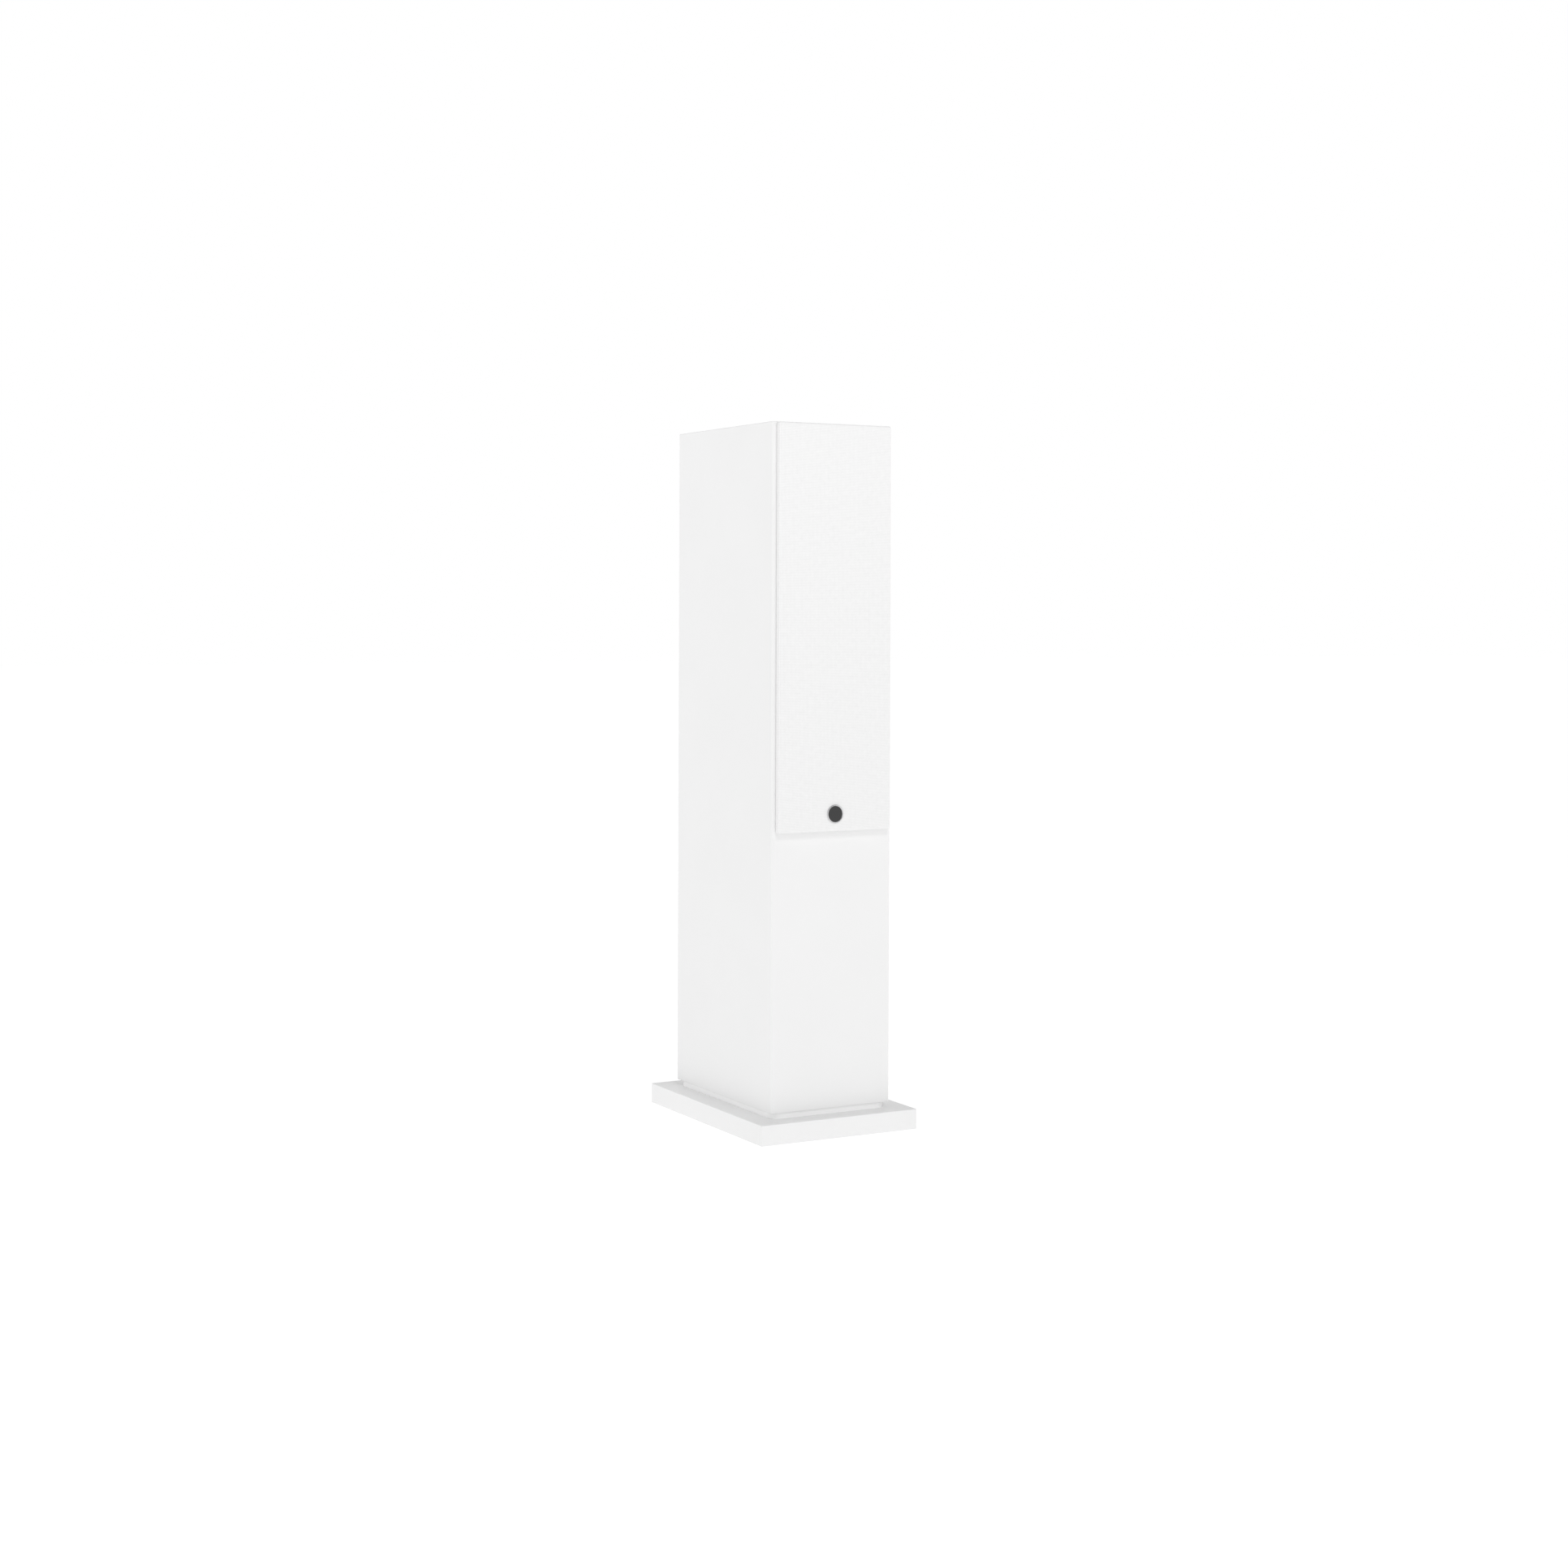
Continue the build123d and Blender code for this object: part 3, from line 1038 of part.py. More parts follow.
def crossover_resistors():
    """Two cement resistors beside the capacitors."""
    half = RESISTOR_SIDE / 2
    top = BOARD_TOP_Z + RESISTOR_SIDE
    return group(*(block(x - half, x + half, 2, 2 + RESISTOR_LENGTH, BOARD_TOP_Z, top) for x in (6, 18)))


def cable(points):
    """A round cable along straight runs with a bend at each inner point."""
    path = FilletPolyline(*points, radius=CABLE_BEND)
    start = path @ 0
    profile = Plane(origin=start, z_dir=path % 0) * Circle(CABLE_RADIUS)
    return sweep(profile, path=path)


def internal_wiring():
    """One twin cable from the board to each drive unit, up through the shelf windows."""
    outer_x = INNER_HALF_WIDTH - BRACE_BORDER - CABLE_RADIUS - CABLE_MARGIN
    inner_x = outer_x - 2 * CABLE_RADIUS - CABLE_MARGIN
    side_x = INNER_HALF_WIDTH - PAD_THICKNESS - 2 * CABLE_RADIUS
    board_y = BOARD_HALF_Y - CABLE_INSET
    lane_y = BACK_Y - PORT_LENGTH - CABLE_RADIUS - CABLE_INSET
    tag_x = WOOFER_TUB_RADIUS + CABLE_RADIUS + CABLE_MARGIN / 3
    tag_y = FRONT_Y + WOOFER_TUB_FLOOR
    cup_y = FRONT_Y + TWEETER_CUP_U + TWEETER_CUP_LENGTH + CABLE_RADIUS / 4

    def riser(x, z):
        low = BOARD_TOP_Z + COIL_RADIUS * 2 + CABLE_BEND
        high = low + board_y - lane_y
        return [(x, board_y, BOARD_TOP_Z), (x, board_y, low), (x, lane_y, high), (x, lane_y, z)]

    runs = [riser(-outer_x, TWEETER_Z) + [(-TWEETER_CUP_RADIUS / 2, cup_y, TWEETER_Z)]]
    for side, z in ((-1, LOWER_WOOFER_Z), (1, UPPER_WOOFER_Z)):
        turn = (side * side_x, lane_y - CABLE_BEND, z)
        runs.append(riser(side * inner_x, z) + [turn, (side * tag_x, tag_y, z)])
    return group(*(cable(points) for points in runs))


# ---------------------------------------------------------------- every node
def all_parts():
    """Every node's name and shape."""
    parts = {f"{side}_panel": board for side, board in carcass().items()}
    parts["front_baffle"] = front_baffle()
    parts["back_panel"] = back_panel()
    for place, z in BRACES.items():
        parts[f"brace_{place}"] = window_brace(z)
    parts["damping_pads"] = damping_pads()
    parts["plinth"] = plinth()
    parts["neck_spacer"] = neck_spacer()
    parts["plinth_bolts"] = plinth_bolts()
    parts["threaded_inserts"] = threaded_inserts()
    parts["foot_pads"] = foot_pads()
    parts["grille_frame"] = grille_frame()
    parts["grille_cloth"] = grille_cloth()
    parts["grille_magnets"] = grille_magnets()
    parts["baffle_magnets"] = baffle_magnets()
    parts["badge_disc"] = badge_disc()
    parts["badge_rim"] = badge_rim()
    for place, z in WOOFERS.items():
        parts[f"{place}_woofer_basket"] = woofer_basket(z)
        parts[f"{place}_woofer_surround"] = woofer_surround(z)
        parts[f"{place}_woofer_cone"] = woofer_cone(z)
        parts[f"{place}_woofer_dust_cap"] = woofer_dust_cap(z)
        parts[f"{place}_woofer_voice_coil"] = woofer_voice_coil(z)
        parts[f"{place}_woofer_spider"] = woofer_spider(z)
    parts["woofer_steel_plates"] = woofer_steel_plates()
    parts["woofer_magnets"] = woofer_magnets()
    parts["woofer_screws"] = woofer_screws()
    parts["tweeter_faceplate"] = tweeter_faceplate()
    parts["tweeter_dome"] = tweeter_dome()
    parts["tweeter_surround"] = tweeter_surround()
    parts["tweeter_voice_coil"] = tweeter_voice_coil()
    parts["tweeter_steel_plates"] = tweeter_steel_plates()
    parts["tweeter_magnet"] = tweeter_magnet()
    parts["tweeter_rear_cup"] = tweeter_rear_cup()
    parts["tweeter_screws"] = tweeter_screws()
    parts["port_tube"] = port_tube()
    parts["terminal_plate"] = terminal_plate()
    parts["terminal_screws"] = terminal_screws()
    parts["post_bushes"] = post_bushes()
    parts["post_spindles"] = post_spindles()
    parts["post_back_nuts"] = post_back_nuts()
    for colour, side in POST_SIDES.items():
        parts[f"{colour}_clamp_washer"] = clamp_washer(side)
        parts[f"{colour}_binding_nut"] = binding_nut(side)
    parts["crossover_board"] = crossover_board()
    parts["crossover_pillars"] = crossover_pillars()
    parts["crossover_inductors"] = crossover_inductors()
    parts["crossover_capacitors"] = crossover_capacitors()
    parts["crossover_resistors"] = crossover_resistors()
    parts["internal_wiring"] = internal_wiring()
    return parts


os.makedirs("parts", exist_ok=True)
for name, shape in all_parts().items():
    export_step(shape, f"parts/{name}.step")
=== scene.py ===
"""A white floorstanding column loudspeaker: finishes for every fitted part, with the cloth, the
flexing suspensions and the felt pads modelled as what they are. Sizes are in metres."""

import math

import bpy
from mathutils import Matrix, Vector
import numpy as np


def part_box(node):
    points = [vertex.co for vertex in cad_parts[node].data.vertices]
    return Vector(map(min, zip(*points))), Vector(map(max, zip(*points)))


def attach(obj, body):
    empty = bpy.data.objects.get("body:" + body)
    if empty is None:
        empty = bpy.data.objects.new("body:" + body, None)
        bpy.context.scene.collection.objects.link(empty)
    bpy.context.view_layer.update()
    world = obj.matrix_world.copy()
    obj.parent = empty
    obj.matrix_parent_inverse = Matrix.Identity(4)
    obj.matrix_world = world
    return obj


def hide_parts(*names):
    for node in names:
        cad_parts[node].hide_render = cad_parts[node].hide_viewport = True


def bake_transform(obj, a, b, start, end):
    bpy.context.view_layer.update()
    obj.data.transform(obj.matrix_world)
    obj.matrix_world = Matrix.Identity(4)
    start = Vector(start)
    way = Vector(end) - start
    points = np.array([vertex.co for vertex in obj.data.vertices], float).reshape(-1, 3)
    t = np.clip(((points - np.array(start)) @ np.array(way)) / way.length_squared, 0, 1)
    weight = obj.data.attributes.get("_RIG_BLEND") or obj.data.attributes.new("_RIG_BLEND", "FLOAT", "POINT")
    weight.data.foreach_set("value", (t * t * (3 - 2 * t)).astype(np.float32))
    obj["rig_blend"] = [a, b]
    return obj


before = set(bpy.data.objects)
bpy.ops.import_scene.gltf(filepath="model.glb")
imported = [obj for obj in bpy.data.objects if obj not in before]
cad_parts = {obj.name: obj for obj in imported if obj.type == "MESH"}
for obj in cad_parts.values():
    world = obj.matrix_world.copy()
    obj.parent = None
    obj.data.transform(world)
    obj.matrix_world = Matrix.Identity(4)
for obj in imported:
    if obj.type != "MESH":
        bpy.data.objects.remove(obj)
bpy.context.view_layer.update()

MM = 0.001
NEAR = MM / 100
WOOFERS = ("upper", "lower")

# The sockets of a colour Mix node share their names, so they are taken by number.
MIX_SHARE, MIX_LOW, MIX_HIGH, MIX_RESULT = 0, 6, 7, 2


# ---------------------------------------------------------------- shader helpers
def srgb(code):
    """A hex sRGB colour as the linear RGBA that the shaders take."""
    channels = [int(code[k:k + 2], 16) / 255 for k in (1, 3, 5)]
    linear = [c / 12.92 if c <= 0.04045 else ((c + 0.055) / 1.055) ** 2.4 for c in channels]
    return (*linear, 1.0)


def per_metre(size_mm):
    """A noise pattern's scale from the real size of its features."""
    return 1000.0 / size_mm


def bands_per_metre(pitch_mm):
    """A wave pattern's scale from the real distance between its bands."""
    return per_metre(pitch_mm) * math.pi / 10


def add_node(tree, kind, settings=None, inputs=None, feeds=None):
    """Adds a node with its own settings, fills or links its inputs, and feeds its outputs on."""
    made = tree.nodes.new(kind)
    for name, value in (settings or {}).items():
        setattr(made, name, value)
    for name, value in (inputs or {}).items():
        if isinstance(value, bpy.types.NodeSocket):
            tree.links.new(value, made.inputs[name])
        else:
            made.inputs[name].default_value = value
    for name, socket in (feeds or {}).items():
        tree.links.new(made.outputs[name], socket)
    return made


def start_finish(name, shader):
    """A material, its tree, its shader with these values, and the object's own coordinates."""
    finish = bpy.data.materials.new(name)
    finish.use_nodes = True
    tree = finish.node_tree
    surface = tree.nodes["Principled BSDF"]
    for socket, value in shader.items():
        surface.inputs[socket].default_value = value
    where = add_node(tree, "ShaderNodeTexCoord").outputs["Object"]
    return finish, tree, surface, where


def cloudy_tint(tree, surface, where, size_mm, low, high, detail=3.0):
    """The base colour drifts between two hex colours in patches of a real size."""
    patches = add_node(tree, "ShaderNodeTexNoise", None, {
        "Vector": where, "Scale": per_metre(size_mm), "Detail": detail, "Roughness": 0.55})
    add_node(tree, "ShaderNodeMix", {"data_type": "RGBA"}, {
        MIX_SHARE: patches.outputs["Fac"], MIX_LOW: srgb(low), MIX_HIGH: srgb(high)},
        {MIX_RESULT: surface.inputs["Base Color"]})


def cloudy_gloss(tree, surface, where, size_mm, low, high):
    """The roughness drifts between two values in patches of a real size."""
    patches = add_node(tree, "ShaderNodeTexNoise", None, {
        "Vector": where, "Scale": per_metre(size_mm), "Detail": 2.0})
    add_node(tree, "ShaderNodeMapRange", None, {
        "Value": patches.outputs["Fac"], "From Min": 0.3, "From Max": 0.7, "To Min": low, "To Max": high},
        {"Result": surface.inputs["Roughness"]})


def grain(tree, surface, where, size_mm, depth_mm, strength=0.5, detail=2.0):
    """Even grain in the surface, as spray, a sparked mould or pressed fibre leaves it."""
    specks = add_node(tree, "ShaderNodeTexNoise", None, {
        "Vector": where, "Scale": per_metre(size_mm), "Detail": detail})
    add_node(tree, "ShaderNodeBump", None, {
        "Height": specks.outputs["Fac"], "Distance": depth_mm * MM, "Strength": strength},
        {"Normal": surface.inputs["Normal"]})


def colour_and_emboss(tree, surface, pattern, low, high, depth_mm, strength):
    """One pattern, a weave, a felt or a row of ridges, both colours the surface and raises it."""
    add_node(tree, "ShaderNodeMix", {"data_type": "RGBA"}, {
        MIX_SHARE: pattern, MIX_LOW: srgb(low), MIX_HIGH: srgb(high)},
        {MIX_RESULT: surface.inputs["Base Color"]})
    add_node(tree, "ShaderNodeBump", None, {
        "Height": pattern, "Distance": depth_mm * MM, "Strength": strength},
        {"Normal": surface.inputs["Normal"]})


def lathe_lines(tree, surface, where, closeness, depth_mm):
    """Turning marks round a post's axis: 4 mm patches squeezed along the axis into lines."""
    along = add_node(tree, "ShaderNodeMapping", None, {"Vector": where, "Scale": (1.0, closeness, 1.0)})
    lines = add_node(tree, "ShaderNodeTexNoise", None, {
        "Vector": along.outputs["Vector"], "Scale": per_metre(4.0), "Detail": 2.0})
    add_node(tree, "ShaderNodeBump", None, {
        "Height": lines.outputs["Fac"], "Distance": depth_mm * MM, "Strength": 0.5},
        {"Normal": surface.inputs["Normal"]})


# ---------------------------------------------------------------- finishes outside
def sprayed_satin_lacquer():
    """Polyurethane lacquer sprayed on fibreboard: even white, soft sheen, faint orange peel."""
    finish, tree, surface, where = start_finish("sprayed_satin_lacquer", {
        "Roughness": 0.42, "IOR": 1.49, "Coat Weight": 0.18, "Coat Roughness": 0.28})
    cloudy_tint(tree, surface, where, 140.0, "#ececec", "#f0f0f0")
    cloudy_gloss(tree, surface, where, 60.0, 0.38, 0.46)
    grain(tree, surface, where, 2.2, 0.012, 0.35)
    return finish


def neck_white_painted_light():
    """White on the neck board's edge, whiter than the lacquer: painted light that lifts the shade under the
    cabinet. Flat and fine.
    """
    finish, tree, surface, where = start_finish("neck_white_painted_light", {
        "Roughness": 0.7, "IOR": 1.48, "Specular IOR Level": 0.3})
    # Whiter than the cabinet's lacquer: painted light standing in for light under the cabinet's overhang.
    cloudy_tint(tree, surface, where, 40.0, "#f9f9f9", "#fdfdfd")
    grain(tree, surface, where, 1.5, 0.01, 0.3)
    return finish


def knitted_grille_cloth():
    """Polyester tricot stretched over the frame: matt white, fine holes that read as grey specks.
    The real stitch is 0.7 mm across. It is drawn at 1.6 mm so that it shows."""
    finish, tree, surface, _ = start_finish("knitted_grille_cloth", {
        "Roughness": 0.9, "IOR": 1.45, "Sheen Weight": 0.12, "Sheen Roughness": 0.5})
    weave = add_node(tree, "ShaderNodeUVMap", {"uv_map": "weave"}).outputs["UV"]
    stitch = 1.6
    slub = 7.0
    rows = add_node(tree, "ShaderNodeTexWave", {"bands_direction": "Y", "wave_profile": "SIN"}, {
        "Vector": weave, "Scale": bands_per_metre(stitch), "Distortion": 0.6, "Detail": 0.0})
    columns = add_node(tree, "ShaderNodeTexWave", {"bands_direction": "X", "wave_profile": "SIN"}, {
        "Vector": weave, "Scale": bands_per_metre(stitch), "Distortion": 0.6, "Detail": 0.0})
    threads = add_node(tree, "ShaderNodeMath", {"operation": "MULTIPLY"}, {
        0: rows.outputs["Fac"], 1: columns.outputs["Fac"]})
    slubs = add_node(tree, "ShaderNodeTexNoise", None, {
        "Vector": weave, "Scale": per_metre(slub), "Detail": 4.0, "Roughness": 0.7})
    depth = add_node(tree, "ShaderNodeMath", {"operation": "MULTIPLY_ADD"}, {
        0: slubs.outputs["Fac"], 1: 0.7, 2: threads.outputs["Value"]})
    shade = add_node(tree, "ShaderNodeMapRange", None, {
        "Value": depth.outputs["Value"], "From Min": 0.2, "From Max": 1.2})
    add_node(tree, "ShaderNodeMix", {"data_type": "RGBA"}, {
        MIX_SHARE: shade.outputs["Result"], MIX_LOW: srgb("#e7e7e7"), MIX_HIGH: srgb("#f7f7f7")},
        {MIX_RESULT: surface.inputs["Base Color"]})
    add_node(tree, "ShaderNodeBump", None, {
        "Height": depth.outputs["Value"], "Distance": 0.12 * MM, "Strength": 0.5},
        {"Normal": surface.inputs["Normal"]})
    return finish


def glossy_black_enamel():
    """Stove enamel on a stamped disc: deep black with a wet shine."""
    finish, tree, surface, where = start_finish("glossy_black_enamel", {
        "Roughness": 0.12, "IOR": 1.52, "Coat Weight": 0.4, "Coat Roughness": 0.05})
    cloudy_tint(tree, surface, where, 9.0, "#0b0b0c", "#131314")
    grain(tree, surface, where, 3.0, 0.01, 0.3)
    return finish


def polished_nickel_plate():
    """Nickel plated on a turned rim: bright, with the faintest turning lines left by the tool."""
    finish, tree, surface, where = start_finish("polished_nickel_plate", {
        "Metallic": 1.0, "Roughness": 0.2})
    cloudy_tint(tree, surface, where, 6.0, "#c9c9ca", "#d8d8d9")
    grain(tree, surface, where, 0.5, 0.004, 0.3)
    return finish


def moulded_white_frame():
    """ABS rails off the moulding press: matt white with a spark-eroded grain."""
    finish, tree, surface, where = start_finish("moulded_white_frame", {"Roughness": 0.55, "IOR": 1.54})
    cloudy_tint(tree, surface, where, 30.0, "#d6d6d5", "#dedede")
    grain(tree, surface, where, 0.8, 0.03, 0.4)
    return finish


def nickel_plated_magnet():
    """Neodymium discs in bright nickel: mirror-like with soft handling haze."""
    finish, tree, surface, where = start_finish("nickel_plated_magnet", {
        "Metallic": 1.0, "Roughness": 0.24})
    cloudy_tint(tree, surface, where, 3.0, "#bcbbb8", "#cbcac7")
    cloudy_gloss(tree, surface, where, 2.0, 0.18, 0.34)
    return finish


def powder_coated_casting():
    """Die-cast aluminium under black polyester powder: low sheen and a fine pebble."""
    finish, tree, surface, where = start_finish("powder_coated_casting", {"Roughness": 0.5, "IOR": 1.5})
    cloudy_tint(tree, surface, where, 12.0, "#141415", "#1c1c1d")
    grain(tree, surface, where, 0.6, 0.05, 0.5)
    return finish


def pressed_nitrile_rubber():
    """Nitrile rubber pressed in a polished mould: near-black with a soft satin bloom."""
    finish, tree, surface, where = start_finish("pressed_nitrile_rubber", {"Roughness": 0.58, "IOR": 1.52})
    cloudy_tint(tree, surface, where, 8.0, "#0e0e0f", "#181819")
    cloudy_gloss(tree, surface, where, 5.0, 0.5, 0.66)
    grain(tree, surface, where, 0.9, 0.02, 0.35)
    return finish


def coated_paper_pulp():
    """Felted paper pulp with a thin damping coat: charcoal, with short fibres just under the coat."""
    finish, tree, surface, where = start_finish("coated_paper_pulp", {"Roughness": 0.62, "IOR": 1.48})
    fibres = add_node(tree, "ShaderNodeTexVoronoi", {"feature": "DISTANCE_TO_EDGE"}, {
        "Vector": where, "Scale": per_metre(3.4), "Randomness": 1.0})
    felt = add_node(tree, "ShaderNodeTexNoise", None, {
        "Vector": where, "Scale": per_metre(1.4), "Detail": 5.0, "Distortion": 1.6})
    depth = add_node(tree, "ShaderNodeMath", {"operation": "MULTIPLY_ADD"}, {
        0: fibres.outputs["Distance"], 1: 0.6, 2: felt.outputs["Fac"]})
    colour_and_emboss(tree, surface, depth.outputs["Value"], "#1d1d1f", "#39393b", 0.12, 0.6)
    return finish


def lacquered_paper_cap():
    """A paper cap dipped in lacquer: darker than the cone and a little shinier."""
    finish, tree, surface, where = start_finish("lacquered_paper_cap", {
        "Roughness": 0.34, "IOR": 1.5, "Coat Weight": 0.2, "Coat Roughness": 0.2})
    cloudy_tint(tree, surface, where, 4.0, "#141416", "#212124")
    grain(tree, surface, where, 1.2, 0.03, 0.5)
    return finish


def resin_dipped_cotton():
    """Open cotton weave stiffened with resin: amber, with crossed threads."""
    finish, tree, surface, where = start_finish("resin_dipped_cotton", {"Roughness": 0.6, "IOR": 1.5})
    thread = 0.9
    warp = add_node(tree, "ShaderNodeTexWave", {"bands_direction": "X"}, {
        "Vector": where, "Scale": bands_per_metre(thread), "Distortion": 0.4})
    weft = add_node(tree, "ShaderNodeTexWave", {"bands_direction": "Z"}, {
        "Vector": where, "Scale": bands_per_metre(thread), "Distortion": 0.4})
    weave = add_node(tree, "ShaderNodeMath", {"operation": "MAXIMUM"}, {
        0: warp.outputs["Fac"], 1: weft.outputs["Fac"]})
    colour_and_emboss(tree, surface, weave.outputs["Value"], "#7c5a22", "#c39a52", 0.15, 0.6)
    return finish


def coated_silk():
    """Silk weave sealed with a tacky coating: matt charcoal with a soft edge sheen."""
    finish, tree, surface, where = start_finish("coated_silk", {
        "Roughness": 0.66, "IOR": 1.45, "Sheen Weight": 0.25, "Sheen Roughness": 0.4})
    cloudy_tint(tree, surface, where, 3.0, "#1a1a1c", "#262629")
    grain(tree, surface, where, 0.35, 0.03, 0.4)
    return finish


def sparked_black_abs():
    """Glass-filled ABS from a spark-eroded mould: matt black, fine even texture."""
    finish, tree, surface, where = start_finish("sparked_black_abs", {"Roughness": 0.52, "IOR": 1.54})
    cloudy_tint(tree, surface, where, 20.0, "#121213", "#191919")
    grain(tree, surface, where, 0.7, 0.04, 0.5)
    return finish


def black_oxide_steel():
    """Machine screws blackened in hot oxide: dark, oily, lighter on worn edges."""
    finish, tree, surface, where = start_finish("black_oxide_steel", {"Metallic": 1.0, "Roughness": 0.38})
    cloudy_tint(tree, surface, where, 1.5, "#1b1b1d", "#303033")
    cloudy_gloss(tree, surface, where, 1.2, 0.3, 0.5)
    return finish


def zinc_plated_steel():
    """Clear zinc on steel bolts: blue-grey with cloudy spangle."""
    finish, tree, surface, where = start_finish("zinc_plated_steel", {"Metallic": 1.0, "Roughness": 0.35})
    cloudy_tint(tree, surface, where, 2.5, "#9ea2a6", "#b9bcbe")
    cloudy_gloss(tree, surface, where, 2.0, 0.28, 0.46)
    return finish


def turned_brass():
    """Free-cutting brass straight off the lathe: yellow with fine turning marks."""
    finish, tree, surface, where = start_finish("turned_brass", {"Metallic": 1.0, "Roughness": 0.28})
    cloudy_tint(tree, surface, where, 3.0, "#b08d4c", "#c9a765")
    lathe_lines(tree, surface, where, 30.0, 0.01)
    return finish


def gold_plated_brass():
    """Gold flashed over turned brass: warm and bright, with soft lathe lines beneath."""
    finish, tree, surface, where = start_finish("gold_plated_brass", {"Metallic": 1.0, "Roughness": 0.2})
    cloudy_tint(tree, surface, where, 3.0, "#d8ae5c", "#e8c679")
    lathe_lines(tree, surface, where, 24.0, 0.012)
    return finish


def brushed_anodised_aluminium():
    """Aluminium plate brushed along its width, then clear anodised: fine level streaks, half a
    millimetre apart and fifty times as long."""
    finish, tree, surface, where = start_finish("brushed_anodised_aluminium", {
        "Metallic": 1.0, "Roughness": 0.36, "Anisotropic": 0.5})
    along = add_node(tree, "ShaderNodeMapping", None, {"Vector": where, "Scale": (0.02, 1.0, 1.0)})
    streaks = add_node(tree, "ShaderNodeTexNoise", None, {
        "Vector": along.outputs["Vector"], "Scale": per_metre(0.5), "Detail": 3.0})
    colour_and_emboss(tree, surface, streaks.outputs["Fac"], "#b4b5b7", "#d2d3d4", 0.02, 0.5)
    return finish


def tinted_polycarbonate(name, deep, bright):
    """Polycarbonate caps over brass nuts: glossy, with colour that pools in the grooves."""
    finish, tree, surface, where = start_finish(name, {
        "Roughness": 0.18, "IOR": 1.58, "Coat Weight": 0.5, "Coat Roughness": 0.08})
    cloudy_tint(tree, surface, where, 3.5, deep, bright)
    grain(tree, surface, where, 1.0, 0.008, 0.3)
    return finish


def red_and_black_bushes():
    """Insulating collars moulded in two colours: red on the positive side, black on the other."""
    finish, tree, surface, where = start_finish("red_and_black_bushes", {"Roughness": 0.4, "IOR": 1.54})
    place = add_node(tree, "ShaderNodeSeparateXYZ", None, {"Vector": where})
    right_side = add_node(tree, "ShaderNodeMath", {"operation": "GREATER_THAN"}, {
        0: place.outputs["X"], 1: 0.0})
    add_node(tree, "ShaderNodeMix", {"data_type": "RGBA"}, {
        MIX_SHARE: right_side.outputs["Value"], MIX_LOW: srgb("#8d1413"), MIX_HIGH: srgb("#161616")},
        {MIX_RESULT: surface.inputs["Base Color"]})
    grain(tree, surface, where, 0.6, 0.02, 0.4)
    return finish


def moulded_foot_rubber():
    """Soft natural rubber feet: dull black with dust in the pores."""
    finish, tree, surface, where = start_finish("moulded_foot_rubber", {"Roughness": 0.8, "IOR": 1.52})
    cloudy_tint(tree, surface, where, 3.0, "#161616", "#242322")
    grain(tree, surface, where, 0.8, 0.05, 0.5)
    return finish


# ---------------------------------------------------------------- finishes inside
def raw_fibreboard():
    """Sawn medium-density fibreboard: tan, with fluffy cut edges."""
    finish, tree, surface, where = start_finish("raw_fibreboard", {"Roughness": 0.85, "IOR": 1.45})
    cloudy_tint(tree, surface, where, 1.6, "#a07d56", "#b8956c", 6.0)
    grain(tree, surface, where, 0.9, 0.08, 0.5, 5.0)
    return finish


def needled_polyester_felt():
    """Grey needle-felt wadding: matt, with tangled fibres and needle dimples."""
    finish, tree, surface, where = start_finish("needled_polyester_felt", {
        "Roughness": 0.95, "IOR": 1.45, "Sheen Weight": 0.3, "Sheen Roughness": 0.6})
    tangle = add_node(tree, "ShaderNodeTexNoise", None, {
        "Vector": where, "Scale": per_metre(2.5), "Detail": 6.0, "Distortion": 2.5})
    dimples = add_node(tree, "ShaderNodeTexVoronoi", {"feature": "F1"}, {
        "Vector": where, "Scale": per_metre(6.0)})
    depth = add_node(tree, "ShaderNodeMath", {"operation": "MULTIPLY_ADD"}, {
        0: dimples.outputs["Distance"], 1: 0.5, 2: tangle.outputs["Fac"]})
    colour_and_emboss(tree, surface, depth.outputs["Value"], "#4b4b4d", "#828284", 0.6, 0.6)
    return finish


def plated_motor_steel():
    """Mild steel motor plates in yellow-clear zinc: grey with a warm cast."""
    finish, tree, surface, where = start_finish("plated_motor_steel", {"Metallic": 1.0, "Roughness": 0.4})
    cloudy_tint(tree, surface, where, 5.0, "#8f8b82", "#a9a59b")
    cloudy_gloss(tree, surface, where, 4.0, 0.32, 0.5)
    return finish


def sintered_ferrite():
    """Sintered ferrite ring: charcoal ceramic with a ground, slightly chipped face."""
    finish, tree, surface, where = start_finish("sintered_ferrite", {"Roughness": 0.62, "IOR": 1.9})
    cloudy_tint(tree, surface, where, 4.0, "#27272a", "#353538")
    grain(tree, surface, where, 1.1, 0.05, 0.6)
    return finish


def wound_copper():
    """Enamelled copper wire wound in close layers: orange brown with turn-by-turn ridges."""
    finish, tree, surface, where = start_finish("wound_copper", {"Metallic": 1.0, "Roughness": 0.3})
    turns = add_node(tree, "ShaderNodeTexWave", {"bands_direction": "Y"}, {
        "Vector": where, "Scale": bands_per_metre(0.8), "Distortion": 0.2})
    colour_and_emboss(tree, surface, turns.outputs["Fac"], "#8a4a22", "#c9793f", 0.12, 0.7)
    return finish


def solder_masked_board():
    """Glass-epoxy board under green solder mask: satin, with the weave telegraphing through."""
    finish, tree, surface, where = start_finish("solder_masked_board", {"Roughness": 0.35, "IOR": 1.55})
    cloudy_tint(tree, surface, where, 10.0, "#1d4a2c", "#27603a")
    grain(tree, surface, where, 1.3, 0.02, 0.5)
    return finish


def film_capacitor_sleeve():
    """Wrapped film capacitors in mustard tape: glossy with spiral overlaps."""
    finish, tree, surface, where = start_finish("film_capacitor_sleeve", {"Roughness": 0.3, "IOR": 1.5})
    cloudy_tint(tree, surface, where, 8.0, "#c39a1c", "#d3ad34")
    grain(tree, surface, where, 2.5, 0.03, 0.4)
    return finish


